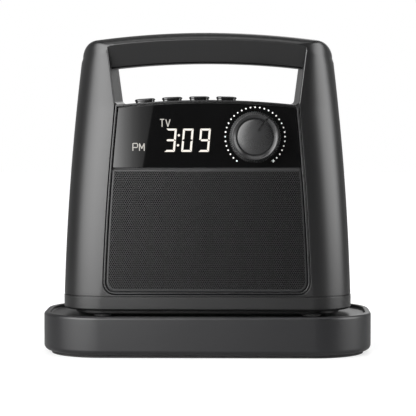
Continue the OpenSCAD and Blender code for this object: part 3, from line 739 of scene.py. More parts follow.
# %% Tree of the perforated sheet
def sheet_tree():
    tree = new_tree("perforated_sheet", "GeometryNodeTree", [
        ("Outline", "NodeSocketGeometry", None), ("Width", "NodeSocketFloat", 0.2),
        ("Height", "NodeSocketFloat", 0.1), ("Pitch", "NodeSocketFloat", 0.00127),
        ("Hole", "NodeSocketFloat", 0.6), ("Thickness", "NodeSocketFloat", 0.0008),
        ("Middle", "NodeSocketVector", None), ("Material", "NodeSocketMaterial", None),
    ], [("Sheet", "NodeSocketGeometry")])
    given = put(tree, "NodeGroupInput").outputs
    row_step = times(tree, given["Pitch"], math.sqrt(3) / 2)
    columns = sums(tree, "ROUND", sums(tree, "DIVIDE", given["Width"], given["Pitch"]))
    rows = sums(tree, "ROUND", sums(tree, "DIVIDE", given["Height"], row_step))
    grid = put(tree, "GeometryNodeMeshGrid", [
        ("Size X", times(tree, columns, given["Pitch"])),
        ("Size Y", times(tree, rows, row_step)),
        ("Vertices X", plus(tree, columns, 1.0)), ("Vertices Y", plus(tree, rows, 1.0))])
    place = put(tree, "GeometryNodeInputPosition").outputs[0]
    axes = put(tree, "ShaderNodeSeparateXYZ", [(0, place)]).outputs
    row = sums(tree, "ROUND", sums(tree, "DIVIDE", axes["Y"], row_step))
    odd = sums(tree, "FLOORED_MODULO", row, 2.0)
    shift = times(tree, times(tree, odd, given["Pitch"]), 0.5)
    moved = put(tree, "ShaderNodeCombineXYZ", [(0, shift)]).outputs[0]
    centred = put(tree, "ShaderNodeVectorMath", [(0, moved), (1, given["Middle"])], operation="ADD")
    staggered = put(tree, "GeometryNodeSetPosition",
                    [("Geometry", grid.outputs["Mesh"]), ("Offset", centred.outputs[0])])
    over = put(tree, "GeometryNodeRaycast", [
        ("Target Geometry", given["Outline"]), ("Ray Direction", (0.0, 0.0, -1.0)),
        ("Source Position", put(tree, "ShaderNodeVectorMath", [
            (0, place), (1, (0.0, 0.0, 0.01))], operation="ADD").outputs[0]),
        ("Ray Length", 0.02)]).outputs["Is Hit"]
    kept = put(tree, "GeometryNodeDeleteGeometry", [
        ("Geometry", staggered.outputs[0]),
        ("Selection", put(tree, "FunctionNodeBooleanMath", [(0, over)], operation="NOT").outputs[0])],
        domain="POINT")
    hexagon = put(tree, "GeometryNodeMeshCircle", [
        ("Vertices", 6), ("Radius", sums(tree, "DIVIDE", given["Pitch"], math.sqrt(3)))],
        fill_type="NGON")
    inner = put(tree, "GeometryNodeExtrudeMesh", [
        ("Mesh", hexagon.outputs[0]), ("Offset Scale", 0.0), ("Individual", False)])
    shrunk = put(tree, "GeometryNodeScaleElements", [
        ("Geometry", inner.outputs["Mesh"]), ("Selection", inner.outputs["Top"]),
        ("Scale", given["Hole"])])
    ring = put(tree, "GeometryNodeDeleteGeometry", [
        ("Geometry", shrunk.outputs[0]), ("Selection", inner.outputs["Top"])], domain="FACE")
    upright = put(tree, "GeometryNodeTransform", [
        ("Geometry", ring.outputs[0]), ("Rotation", (0.0, 0.0, math.pi / 6))])
    tiles = put(tree, "GeometryNodeInstanceOnPoints", [
        ("Points", kept.outputs[0]), ("Instance", upright.outputs[0])])
    flat = put(tree, "GeometryNodeMergeByDistance", [
        ("Geometry", put(tree, "GeometryNodeRealizeInstances",
                         [("Geometry", tiles.outputs[0])]).outputs[0]),
        ("Distance", 0.00003)])
    raised = put(tree, "GeometryNodeExtrudeMesh", [
        ("Mesh", flat.outputs[0]), ("Individual", False),
        ("Offset", put(tree, "ShaderNodeCombineXYZ", [
            (2, times(tree, given["Thickness"], -1.0))]).outputs[0])])
    joined = put(tree, "GeometryNodeJoinGeometry")
    tree.links.new(raised.outputs["Mesh"], joined.inputs[0])
    tree.links.new(put(tree, "GeometryNodeFlipFaces", [
        ("Mesh", flat.outputs[0])]).outputs[0], joined.inputs[0])
    closed = put(tree, "GeometryNodeMergeByDistance", [
        ("Geometry", joined.outputs[0]), ("Distance", 0.00003)])
    return close_tree(tree, closed.outputs[0], given["Material"])


# %% The grille: two half sheets and a border
panel_seam = 1.2
grille_top = panel_low - panel_seam
grille_low = bezel_low + bezel_w + panel_gap
grille_corner = bezel_r + 0.5 - bezel_w - panel_gap
grille_sink, grille_t = 0.6, 0.8
border_w = 1.1
hole_pitch = 1.4
hole_share = 0.8
perforated = sheet_tree()


def half_sheet(name, side):
    outline = front_outline(panel_inset, grille_low, grille_top, grille_corner, 0.3, arched=False)
    inner = [(x, up) for x, up in grown(outline, -border_w * 0.6) if side * x >= 0]
    ends = [(0, grille_low + border_w * 0.6), (0, grille_top - border_w * 0.6)]
    order = ends + inner if side < 0 else inner + ends[::-1]
    turn = sorted(order, key=lambda p: math.atan2(p[1] - (grille_low + grille_top) / 2, p[0] - side * 20))
    flat = solid(name, [(x, up, 0) for x, up in turn], [list(range(len(turn)))])
    run_tree(flat, perforated, {
        "Width": 0.2, "Height": 0.1, "Pitch": hole_pitch * MM, "Hole": hole_share,
        "Thickness": grille_t * MM, "Middle": (0, (grille_low + grille_top) / 2 * MM, 0)})
    placed = [on_front(v.co.x / MM, grille_sink - v.co.z / MM, v.co.y / MM) for v in flat.data.vertices]
    flat.data.vertices.foreach_set("co", [c * MM for p in placed for c in p])
    return out_faces(flat)


grille_sheets = [half_sheet("grille_left", -1), half_sheet("grille_right", 1)]
border_front, border_back, border_round = grille_sink - 0.1, grille_sink + grille_t, 0.3
border_profile = [(0, border_back), (0, border_front + border_round)]
border_profile += edge_round(border_front, border_round)
border_profile += [(-border_w, border_front), (-border_w, border_back)]
grille_border = smooth(lofted("grille_border", on_face(
    on_front, front_outline(panel_inset, grille_low, grille_top, grille_corner, 0.3, arched=False),
    border_profile), looped=True))
print("grille faces", [len(g.data.polygons) for g in grille_sheets])

# %% [markdown]
# ## The volume knob
# Fingertips turn it, so its skirt has 72 fine flutes that fade out at the rim. Inside the rim the
# face slopes down to a domed cap, and the pointer is a slot through both. The skirt's shape is
# a rule, radius against height and angle, so its rings are worked out directly.

# %% Knob, cap and pointer
flutes = 72
flute_depth = 0.5
cap_r = 11.6
ring_foot = 8.8
knob_profile = [
    (0, 3.3, 0), (14.4, 3.3, 0), (14.4, 0.8, 0), (16.4, 0.8, 0.2), (16.75, 0.95, 0.7), (16.9, 1.3, 1),
    (16.6, 3.2, 1), (16.2, 5.6, 1), (15.75, 8.0, 1), (15.4, 9.7, 1), (15.25, 10.3, 0.75),
    (15.05, 10.7, 0.35), (14.8, 10.93, 0.1), (14.5, 11.0, 0), (14.2, 10.9, 0), (13.0, 9.9, 0),
    (cap_r + 0.35, ring_foot + 0.15, 0), (cap_r + 0.2, ring_foot - 0.1, 0), (cap_r + 0.2, 7.6, 0),
    (0, 7.6, 0)]


def fluted_skirt(name, steps=432):
    points, faces, rows = [], [], []
    for radius, out, share in knob_profile:
        if radius == 0:
            rows.append([len(points)] * steps)
            points.append(at_knob(0, 0, out))
            continue
        rows.append([len(points) + k for k in range(steps)])
        for k in range(steps):
            a = 2 * math.pi * k / steps
            valley = abs(math.sin(flutes * a / 2)) ** 1.6
            rr = radius - flute_depth * share * (1 - valley)
            points.append(at_knob(rr * math.cos(a), rr * math.sin(a), out))
    for below, above in zip(rows, rows[1:]):
        for k in range(steps):
            j = (k + 1) % steps
            corners = [below[k], below[j], above[j], above[k]]
            faces.append(list(dict.fromkeys(corners)))
    return out_faces(solid(name, points, faces))


def pointer_tool(name):
    """A slot that narrows outwards, with round ends, standing on the knob's face."""
    inner, outer, wide, narrow = 4.3, 14.7, 0.95, 0.6
    turn = math.radians(90 - 33.7)
    shape = arc(outer - narrow, 0, narrow, -90, 90, 8) + arc(inner + wide, 0, wide, 90, 270, 8)
    rings = []
    for growth, out in ((-0.12, 8.25), (0, 8.4), (0, 14)):
        ring = grown(shape, growth)
        rings.append([at_knob(x * math.cos(turn) - y * math.sin(turn),
                              x * math.sin(turn) + y * math.cos(turn), out) for x, y in ring])
    return lofted(name, rings)


knob_skirt = combine(fluted_skirt("knob_skirt"), pointer_tool("slot"))
dome = [(cap_r * math.sin(math.radians(a)), 8.95 + 1.15 * math.cos(math.radians(a)))
        for a in (0, 12, 24, 36, 48, 60, 70, 78, 84)]
knob_dome = turned("knob_cap_dome", dome + [(cap_r, 8.95), (cap_r, 7.6), (0, 7.6)], at_knob, 96)
combine(knob_dome, pointer_tool("slot"))
smooth(knob_skirt, 38)
smooth(knob_dome, 38)
print("knob", len(knob_skirt.data.vertices), len(knob_dome.data.vertices))

# %% [markdown]
# ## Marks round the knob
# A dial's marks stand at equal angles, which is one more job for Geometry Nodes: a line of points
# is bent into an arc by their index, and a small disc is put on each. The last mark is a star.

# %% Tree of the dial marks
def marks_tree():
    tree = new_tree("dial_marks", "GeometryNodeTree", [
        ("Mark", "NodeSocketGeometry", None), ("Count", "NodeSocketInt", 32),
        ("Radius", "NodeSocketFloat", 0.0195), ("First", "NodeSocketFloat", 0.0),
        ("Step", "NodeSocketFloat", 0.1), ("Material", "NodeSocketMaterial", None)],
        [("Marks", "NodeSocketGeometry")])
    given = put(tree, "NodeGroupInput").outputs
    line = put(tree, "GeometryNodeMeshLine", [("Count", given["Count"])])
    index = put(tree, "GeometryNodeInputIndex").outputs[0]
    angle = plus(tree, times(tree, index, given["Step"]), given["First"])
    spot = put(tree, "ShaderNodeCombineXYZ", [
        (0, times(tree, sums(tree, "SINE", angle), given["Radius"])),
        (1, times(tree, sums(tree, "COSINE", angle), given["Radius"]))]).outputs[0]
    bent = put(tree, "GeometryNodeSetPosition", [("Geometry", line.outputs[0]), ("Position", spot)])
    marks = put(tree, "GeometryNodeInstanceOnPoints", [
        ("Points", bent.outputs[0]), ("Instance", given["Mark"])])
    return close_tree(tree, marks.outputs[0], given["Material"])


mark_count = 33
mark_r, mark_ring, mark_span = 0.5, 19.5, 285.0
mark_lift = 0.05
disc = circle(mark_r, 14)
dial_marks = lofted("dial_marks", [[(x, y, z) for x, y in grown(disc, g)]
                                   for g, z in ((0, -0.05), (0, mark_lift - 0.02), (-0.1, mark_lift))])
run_tree(dial_marks, marks_tree(), {
    "Count": mark_count - 1, "Radius": mark_ring * MM, "First": math.radians(-mark_span / 2),
    "Step": math.radians(mark_span / (mark_count - 1))})
dial_marks.data.vertices.foreach_set("co", [
    c * MM for v in dial_marks.data.vertices
    for c in at_knob(v.co.x / MM, v.co.y / MM, v.co.z / MM)])
out_faces(dial_marks)
last = math.radians(mark_span / 2)
star_shape = [((1.35 if k % 2 == 0 else 0.42), math.pi / 4 * k) for k in range(8)]
star = lofted("star_mark", [[at_knob(
    mark_ring * math.sin(last) + r * math.cos(a), mark_ring * math.cos(last) + r * math.sin(a), out)
    for r, a in star_shape] for out in (-0.05, mark_lift)])
print("marks", len(dial_marks.data.vertices))

# %% [markdown]
# ## What the display shows
# The clock's figures are lit bars. Each figure picks its bars out of seven, and every bar is a thin
# prism with mitred ends that leans a little to the right. The two words beside it are strokes of
# one width, as such displays have them.

# %% Lit figures and words
bar_t, lean = 1.3, math.radians(5)
digit_w, digit_h, digit_low = 6.9, 15.2, 94.5
digit_rights = {"3": -19.5, "0": -8.5, "9": 2.7}
bars_of = {"3": "abcdg", "0": "abcdef", "9": "abcdfg"}
light_front = panel_sink - 0.04


def bar_shape(bar):
    w, h, t, g = digit_w, digit_h, bar_t, 0.14
    flat = {"a": h, "g": (h + t) / 2, "d": t}
    if bar in flat:
        z = flat[bar]
        if bar == "g":
            return [(t / 2 + g, z - t / 2), (t + g, z - t), (w - t - g, z - t), (w - t / 2 - g, z - t / 2),
                    (w - t - g, z), (t + g, z)]
        inner = z - t if bar == "a" else z
        outer = z if bar == "a" else z - t
        return [(g, outer), (t + g, inner), (w - t - g, inner), (w - g, outer)]
    low, high = (t, h / 2) if bar in "ce" else (h / 2, h - t)
    x_out, x_in = (0, t) if bar in "ef" else (w, w - t)
    end_low, end_high = (0, h / 2) if bar in "ce" else (h / 2, h)
    mid_cut = t / 2
    if bar in "ce":
        return [(x_out, end_low + g), (x_in, low + g), (x_in, high - mid_cut - g), (x_out, end_high - g)]
    return [(x_out, end_low + g), (x_in, low + mid_cut + g), (x_in, high - g), (x_out, end_high - g)]


def prism(name, shape, base_x, base_up, slant=lean):
    area = sum(a[0] * b[1] - b[0] * a[1] for a, b in zip(shape, shape[1:] + shape[:1]))
    shape = shape if area > 0 else shape[::-1]
    rings = [[on_front(base_x + x + z * math.tan(slant), depth, base_up + z) for x, z in grown(shape, g)]
             for g, depth in ((0, panel_sink + 0.1), (0, light_front + 0.02), (-0.03, light_front))]
    return lofted(name, rings)


digits = [prism("bar", bar_shape(bar), right - digit_w - digit_h * math.tan(lean), digit_low)
          for figure, right in digit_rights.items() for bar in bars_of[figure]]
for dot_x, dot_up in ((-18.2, 105.3), (-18.75, 98.8)):
    digits.append(prism("dot", circle(0.78, 16), dot_x, dot_up))
clock = merge("clock_figures", digits)


def stroke(a, b, width):
    (x0, z0), (x1, z1) = a, b
    n = Vector((z0 - z1, x1 - x0)).normalized() * (width / 2)
    return [(x0 + n.x, z0 + n.y), (x0 - n.x, z0 - n.y), (x1 - n.x, z1 - n.y), (x1 + n.x, z1 + n.y)]


letters = {
    "T": [((0, 1), (1, 1)), ((0.5, 0), (0.5, 1))],
    "V": [((0, 1), (0.5, 0)), ((0.5, 0), (1, 1))],
    "P": [((0, 0), (0, 1)), ((0, 1), (0.95, 1)), ((1, 0.95), (1, 0.5)), ((0, 0.45), (0.95, 0.45))],
    "M": [((0, 0), (0, 1)), ((0, 1), (0.5, 0.3)), ((0.5, 0.3), (1, 1)), ((1, 1), (1, 0))]}


def word(text, left, low, width, height):
    step = width / len(text)
    size = step * 0.72
    return [prism("stroke", stroke((left + i * step + a[0] * size, a[1] * height),
                                   (left + i * step + b[0] * size, b[1] * height), 0.62),
                  0, low, 0.0)
            for i, letter in enumerate(text) for a, b in letters[letter]]


words = merge("lit_words", word("TV", -30.5, 110.9, 7.6, 4.8) + word("PM", -48.2, 95.2, 8.6, 4.8))
print("clock", len(clock.data.vertices), "words", len(words.data.vertices))

# %% [markdown]
# ## Buttons
# Four glossy pill-shaped keys stand on the arch of the deck. Each is one loft from the stem that
# passes through the deck up to a softly domed top, and each follows its own joint.

# %% Key caps
button_gap, button_h = 0.9, 2.5


def key(name, i):
    turn = [math.pi / 2 * k / 6 for k in range(7)]
    profile = [(stem_inset, -3.8), (stem_inset, button_gap - 0.1), (-0.15, button_gap), (0, button_gap + 0.2)]
    profile += [(-1.1 * (1 - math.cos(a)), button_h - 0.95 + 0.8 * math.sin(a)) for a in turn]
    profile += [(-2.2, button_h - 0.05), (-3.3, button_h)]
    plan = pill(button_l, button_w)
    cap = lofted(name, [[at_button(i, u, v, up) for u, v in grown(plan, g)] for g, up in profile])
    stem_low = deck_z - 14 + 1.6 + 3.6 + 0.8 + 0.95
    length = deck_z - arch_drop(button_xs[i]) - stem_low
    stem = turned("stem", [(0, -length), (1.8, -length), (1.8, -3.7), (0, -3.7)],
                  lambda u, v, up: at_button(i, u, v, up), 24)
    return smooth(merge(name, [cap, stem]), 40)


keys = [key(f"key_{i + 1}", i) for i in range(4)]
print("keys", [len(k.data.vertices) for k in keys])

# %% [markdown]
# ## Bottom cover and cradle
# Both are bowl-like mouldings with the same rounded-rectangle plan at every height. Their cross
# section is drawn once, as inset and height from the middle of the underside round to the middle
# of the top, and the loft through it gives walls, rims and fillets in one closed surface.

# %% Bottom cover of the speaker
def bowl(name, width, depth, radius, section, steps=24):
    plan = rounded_plan(width, depth, radius, steps)
    return lofted(name, [[(x, y, z) for x, y in grown(plan, -inset)] for inset, z in section])


def bend(cx, cz, r, start, stop, steps=5):
    """A rounded corner of a section, as (inset, height) points."""
    return arc(cx, cz, r, start, stop, steps)


ring_top = seam_z - 0.5
cover_section = [(10.6, plinth_z), (9.0, plinth_z)]
cover_section += bend(9.0, plinth_z + 1.0, 1.0, 270, 180, 4)
cover_section += [(8.0, unit_z - 0.4)] + bend(7.6, unit_z - 0.4, 0.4, 0, 90, 3)
cover_section += bend(1.6, unit_z + 1.6, 1.6, 270, 180, 7)
cover_section += bend(0.35, ring_top - 0.35, 0.35, 180, 90, 4)
cover_section += [(1.1, ring_top), (1.1, seam_z - 0.02), (3.7, seam_z - 0.02), (3.7, unit_z + 2.4),
                  (10.6, unit_z + 2.4), (10.6, plinth_z + 2.4)]
cover = bowl("bottom_cover_shell", body_w, body_d, corner_r, cover_section)
cover_post_x = half_width(seam_z) - wall - 2.5
pin_x = 7.0


def upright_bore(x, y, low, high, radius, mouth=0.25):
    rings = [[(x + u, y + v, z) for u, v in grown(circle(radius), g)]
             for g, z in ((mouth + 0.1, low - 3), (mouth + 0.1, low - 0.02), (mouth, low),
                          (mouth * 0.3, low + mouth * 0.3), (0, low + mouth), (0, high))]
    return lofted("bore", rings)


cover_seats = [(side * cover_post_x, y) for side in (-1, 1) for y in (-14, 17)]
bores = [upright_bore(x, y, unit_z, unit_z + 4, head_r + gap) for x, y in cover_seats]
bores += [upright_bore(side * pin_x, 0, plinth_z, plinth_z + 4, 3.0) for side in (-1, 1)]
combine(cover, merge("bores", bores))
smooth(cover, 34)

# %% Cradle
foot_edge, rim_edge, rim_w = 3.5, 2.0, 4.0
base_section = [(9.0, foot_z), (3.4, foot_z)]
base_section += bend(foot_edge, foot_z + foot_edge, foot_edge, 262, 180, 8)
base_section += [(0, (foot_z + base_z) / 2)]
base_section += bend(rim_edge, base_z - rim_edge, rim_edge, 180, 90, 8)
base_section += bend(rim_w - 0.6, base_z - 0.6, 0.6, 90, 0, 4)
base_section += bend(rim_w + 0.5, floor_z + 0.5, 0.5, 180, 270, 4)
base_section += [(12.0, floor_z)]
cradle = bowl("cradle_tray", base_w, base_d, base_r, base_section, 32)
hollow = bowl("hollow", base_w, base_d, base_r, [(3.6, foot_z - 2), (3.6, foot_z + 3), (3.0, foot_z + 6),
                                                (3.0, floor_z - 3), (3.5, floor_z - 2.5)], 32)
combine(cradle, hollow)
posts = [(x * (base_w / 2 - 28), y * (base_d / 2 - 22)) for x in (-1, 1) for y in (-1, 1)]
pin_bores = [turned("pin_bore", [(0, floor_z - 5), (1.9, floor_z - 5), (1.9, floor_z - 0.2),
                                 (2.2, floor_z), (2.2, floor_z + 2), (0, floor_z + 2)],
                    lambda u, v, z, side=side: (side * pin_x + u, v, z), 32) for side in (-1, 1)]
dc_z = foot_z + 2.5 + 1.5 + 1.6 + 5.5
socket = turned("power_hole", [(0, base_d / 2 - 6), (4.05, base_d / 2 - 6), (4.05, base_d / 2 - 0.5),
                               (4.45, base_d / 2), (4.6, base_d / 2 + 3), (0, base_d / 2 + 3)],
                lambda u, v, y: (u, y, dc_z + v), 48)
combine(cradle, merge("bores", pin_bores + [socket]))
post_low, post_high, post_r = foot_z + 2.6, floor_z - 1.5, 4.5
post_profile = [(0, post_low), (post_r, post_low), (post_r, post_high), (0, post_high)]
post_solids = [turned("post", post_profile, lambda u, v, z, x=x, y=y: (x + u, y + v, z), 32)
               for x, y in posts]
combine(cradle, merge("posts", post_solids), "UNION")
smooth(cradle, 34)
print("cover", len(cover.data.vertices), "cradle", len(cradle.data.vertices))

# %% [markdown]
# ## The battery door
# The door is a slab with softened edges, flush with the rear. Four short grip slots near its top
# edge take a fingertip. They are copies of one pill, so a small loop makes the cutter.

# %% Battery door
door_t, door_edge = 2.5, 0.5
door_middle = (door_low + door_high) / 2
plan = [(x, z + door_middle) for x, z in rounded_plan(2 * door_half, door_high - door_low, 0.7, 4)]
door = lofted("battery_lid", on_face(outwards, plan, softened(0, door_t, door_edge)))
slot_top, slot_pitch, slot_l, slot_w = door_high - 5.4, 2.4, 20, 1.3
slots = [lofted("slot", on_face(outwards, [(x, z + slot_top - slot_pitch * i) for x, z in
                                           pill(slot_l, slot_w, 6)], rim(0.25, 0.7, 3)))
         for i in range(4)]
combine(door, merge("slots", slots))
pins = [turned("hinge_pin", [(0, -1.5), (0.65, -1.5), (0.8, -1.3), (0.8, 0.4), (0, 0.4)],
               lambda u, v, w, side=side: on_rear(side * (door_half - w), -door_t / 2 + u,
                                                  door_low + door_t / 2 + v), 24) for side in (-1, 1)]
door = smooth(merge("battery_lid", [door] + pins), 34)
print("door", len(door.data.vertices))

# %% [markdown]
# ## Screws
# Twelve identical pan-head screws hold the casings. One is modelled with its cross recess, and a
# small Geometry Nodes tree puts it on every point of a list, turned to face its hole and spun by
# a different amount, as screws always end up.

# %% One screw
def screw_head(name, length):
    head = turned(name, [(0, -length), (1.1, -length), (1.45, -length + 0.6), (1.45, 0), (2.7, 0),
                         (2.8, 0.25), (2.72, 0.95), (2.3, 1.6), (1.5, 1.95), (0, 2.05)],
                  lambda u, v, w: (u, v, w), 24)
    bars = [lofted("bar", [[(x * math.cos(t) - y * math.sin(t), x * math.sin(t) + y * math.cos(t), z)
                            for x, y in ((-a, -b), (a, -b), (a, b), (-a, b))]
                           for a, b, z in ((0.9, 0.22, 0.7), (1.45, 0.32, 2.2))]) for t in (0, math.pi / 2)]
    for bar in bars:
        combine(head, bar)
    return head


def screws_tree():
    tree = new_tree("screws", "GeometryNodeTree", [
        ("Places", "NodeSocketGeometry", None), ("Screw", "NodeSocketObject", None),
        ("Facing", "NodeSocketRotation", None), ("Seed", "NodeSocketInt", 3),
        ("Material", "NodeSocketMaterial", None)], [("Screws", "NodeSocketGeometry")])
    given = put(tree, "NodeGroupInput").outputs
    spin = put(tree, "FunctionNodeRandomValue", [("Seed", given["Seed"])], data_type="FLOAT")
    spin.inputs["Max"].default_value = math.pi
    turn = put(tree, "FunctionNodeAxisAngleToRotation", [
        ("Axis", (0.0, 0.0, 1.0)), ("Angle", spin.outputs[1])]).outputs[0]
    facing = put(tree, "FunctionNodeRotateRotation", [
        ("Rotation", given["Facing"]), ("Rotate By", turn)], rotation_space="LOCAL").outputs[0]
    model = put(tree, "GeometryNodeObjectInfo", [("Object", given["Screw"])]).outputs["Geometry"]
    set_out = put(tree, "GeometryNodeInstanceOnPoints", [
        ("Points", given["Places"]), ("Instance", model), ("Rotation", facing)])
    return close_tree(tree, set_out.outputs[0], given["Material"])


screw_set = screws_tree()


def set_screws(name, places, length, facing, seed):
    model = screw_head("screw_model", length)
    row = solid(name, places, [])
    run_tree(row, screw_set, {"Screw": model, "Facing": facing, "Seed": seed})
    discard(model)
    return smooth(row, 30, weighted=False)


down = (math.pi, 0.0, 0.0)
rearwards = (-math.pi / 2, 0.0, 0.0)
rear_screws = set_screws("shell_screw_set", [(side * x, seat_y, z) for x, z in post_places
                                             for side in (-1, 1)], 18, rearwards, 3)
cover_screws = set_screws("cover_screw_set", [(x, y, unit_z + 4) for x, y in cover_seats], 13, down, 5)
base_screws = set_screws("base_screw_set", [(x, y, foot_z + 1.5) for x, y in posts], 11, down, 7)
print("screws", len(rear_screws.data.polygons), "faces on the rear")

# %% [markdown]
# ## Shared surface effects
# Moulded plastic is never quite even. Two shader groups serve most of the materials: one gives a
# fine grain as a height and a roughness, the other a slow mottling as of handling and dust.
# Both read Object coordinates, so they stay on the piece when it moves.

# %% Shader groups
def shader_group(name, inputs, outputs):
    tree = new_tree(name, "ShaderNodeTree", [(n, "NodeSocketFloat", v) for n, v in inputs],
                    [(n, "NodeSocketFloat") for n in outputs])
    given = put(tree, "NodeGroupInput").outputs
    place = object_place(tree)
    return tree, given, place, put(tree, "NodeGroupOutput")


def blend_value(tree, share, low, high):
    return put(tree, "ShaderNodeMapRange", [(0, share), (3, low), (4, high)]).outputs[0]


def grain_group():
    tree, given, place, out = shader_group(
        "fine_grain", [("Grains per metre", 2600.0), ("Smooth", 0.36), ("Rough", 0.46)],
        ["Height", "Roughness"])
    cells = put(tree, "ShaderNodeTexVoronoi", [("Vector", place), ("Scale", given[0])],
                feature="SMOOTH_F1").outputs["Distance"]
    fuzz = put(tree, "ShaderNodeTexNoise", [("Vector", place), ("Scale", given[0]), ("Detail", 3.0)])
    height = plus(tree, cells, times(tree, fuzz.outputs[0], 0.6))
    slow = put(tree, "ShaderNodeTexNoise", [("Vector", place), ("Scale", 22.0), ("Detail", 4.0)])
    share = plus(tree, times(tree, slow.outputs[0], 0.7),
                 times(tree, fuzz.outputs[0], 0.3))
    tree.links.new(height, out.inputs["Height"])
    tree.links.new(blend_value(tree, share, given[1], given[2]), out.inputs["Roughness"])
    return tree


def mottle_group():
    tree, given, place, out = shader_group(
        "mottling", [("Scale", 9.0), ("Dust", 0.3)], ["Mask", "Dust mask"])
    slow = put(tree, "ShaderNodeTexNoise", [("Vector", place), ("Scale", given[0]), ("Detail", 5.0),
                                            ("Roughness", 0.62)])
    upward = put(tree, "ShaderNodeSeparateXYZ", [
        (0, put(tree, "ShaderNodeNewGeometry").outputs["Normal"])]).outputs["Z"]
    specks = put(tree, "ShaderNodeTexNoise", [("Vector", place), ("Scale", 420.0), ("Detail", 2.0)])
    settled = put(tree, "ShaderNodeMapRange", [(0, upward), (1, 0.35), (2, 1.0)]).outputs[0]
    fleck = put(tree, "ShaderNodeMapRange", [(0, specks.outputs[0]), (1, 0.5), (2, 0.75)]).outputs[0]
    dust = times(tree, times(tree, settled, fleck), given[1])
    tree.links.new(slow.outputs[0], out.inputs["Mask"])
    tree.links.new(dust, out.inputs["Dust mask"])
    return tree


grain, mottle = grain_group(), mottle_group()
print("shader groups", grain.name, mottle.name)

# %% [markdown]
# ## Materials
# One function makes a moulded plastic from its two tones, its gloss and its grain, because most
# casings are the same stuff with another finish. Metals, glass, cloth and the lit figures have
# functions of their own.

# %% Plastics
def start_material(name):
    material = bpy.data.materials.new(name)
    material.use_nodes = True
    tree = material.node_tree
    return material, tree, tree.nodes["Principled BSDF"]


def use_group(tree, group, **values):
    node = tree.nodes.new("ShaderNodeGroup")
    node.node_tree = group
    for label, value in values.items():
        node.inputs[label.replace("_", " ")].default_value = value
    return node.outputs


def tones(tree, share, dark, light):
    return put(tree, "ShaderNodeMix", [(0, share), (6, (*dark, 1)), (7, (*light, 1))],
               data_type="RGBA").outputs[2]


def bumped(tree, shader, height, distance):
    bump = put(tree, "ShaderNodeBump", [("Height", height), ("Distance", distance), ("Strength", 1.0)])
    tree.links.new(bump.outputs[0], shader.inputs["Normal"])


dust_colour = (0.16, 0.155, 0.15, 1)


def plastic(name, dark, light, smooth_rough, grains=2600.0, relief=0.02, dust=0.25, coat=0.0):
    material, tree, shader = start_material(name)
    texture = use_group(tree, grain, Grains_per_metre=grains, Smooth=smooth_rough[0], Rough=smooth_rough[1])
    wear = use_group(tree, mottle, Dust=dust)
    colour = tones(tree, wear["Mask"], dark, light)
    dusted = put(tree, "ShaderNodeMix", [(0, wear["Dust mask"]), (6, colour), (7, dust_colour)],
                 data_type="RGBA")
    tree.links.new(dusted.outputs[2], shader.inputs["Base Color"])
    tree.links.new(texture["Roughness"], shader.inputs["Roughness"])
    bumped(tree, shader, texture["Height"], relief * MM)
    shader.inputs["Coat Weight"].default_value = coat
    return material


def grey(value, tint=1.03):
    return (value, value, value * tint)


housing_plastic = plastic("satin_housing", grey(0.004), grey(0.006), (0.28, 0.35), relief=0.008, dust=0.12)
cradle_plastic = plastic("satin_cradle", grey(0.0045, 1.15), grey(0.0065, 1.15), (0.3, 0.38), relief=0.008,
                         dust=0.12)
bezel_plastic = plastic("bezel_trim", grey(0.004), grey(0.006), (0.2, 0.28), relief=0.004, dust=0.08)
inner_plastic = plastic("inner_moulding", grey(0.02), grey(0.03), (0.5, 0.6), grains=1800)
knob_plastic = plastic("soft_knob", grey(0.01), grey(0.015), (0.24, 0.3), grains=3200, relief=0.008,
                       dust=0.08)
key_gloss = plastic("glossy_key", grey(0.004), grey(0.007), (0.07, 0.12), relief=0.002, dust=0.06, coat=0.5)
rubber = plastic("foot_rubber", grey(0.012), grey(0.02), (0.7, 0.85), grains=1500, relief=0.04, dust=0.5)


# %% Glass, metals, cloth and boards
def plain(name, dark, light, roughness, metallic=0.0, scale=60.0, relief=0.0, stretch=(1, 1, 1)):
    """A finish with two tones and a roughness that vary by a noise, which can be stretched."""
    material, tree, shader = start_material(name)
    place = put(tree, "ShaderNodeMapping", [
        (0, object_place(tree)), ("Scale", stretch)]).outputs[0]
    noise = put(tree, "ShaderNodeTexNoise", [("Vector", place), ("Scale", scale), ("Detail", 4.0)]).outputs[0]
    tree.links.new(tones(tree, noise, dark, light), shader.inputs["Base Color"])
    tree.links.new(blend_value(tree, noise, *roughness), shader.inputs["Roughness"])
    shader.inputs["Metallic"].default_value = metallic
    if relief:
        bumped(tree, shader, noise, relief * MM)
    return material


panel_gloss = plain("display_gloss", grey(0.0015), grey(0.0025), (0.012, 0.025), scale=30)
grille_metal = plain("painted_grille", grey(0.008), grey(0.012), (0.3, 0.38), 0.0, 900, 0.004)
steel = plain("turned_steel", grey(0.42, 1.02), grey(0.55, 1.02), (0.25, 0.4), 1.0, 700, 0.002, (1, 1, 8))
screw_steel = plain("black_screw_steel", grey(0.05), grey(0.09), (0.3, 0.45), 0.9, 900, 0.004)
magnet_grey = plain("ferrite", grey(0.09), grey(0.14), (0.5, 0.7), 0.2, 500, 0.02)
cone_paper = plain("pressed_paper", grey(0.02), grey(0.04), (0.8, 0.95), 0.0, 1400, 0.06)
board_green = plain("solder_mask", (0.01, 0.06, 0.03), (0.02, 0.1, 0.05), (0.3, 0.45), 0.0, 300, 0.01)
wrap_blue = plain("battery_wrap", (0.02, 0.08, 0.26), (0.03, 0.11, 0.33), (0.25, 0.4), 0.0, 120, 0.01)
contact_gold = plain("plated_contact", (0.72, 0.5, 0.18), (0.86, 0.62, 0.26), (0.18, 0.3), 1.0, 900, 0.002)


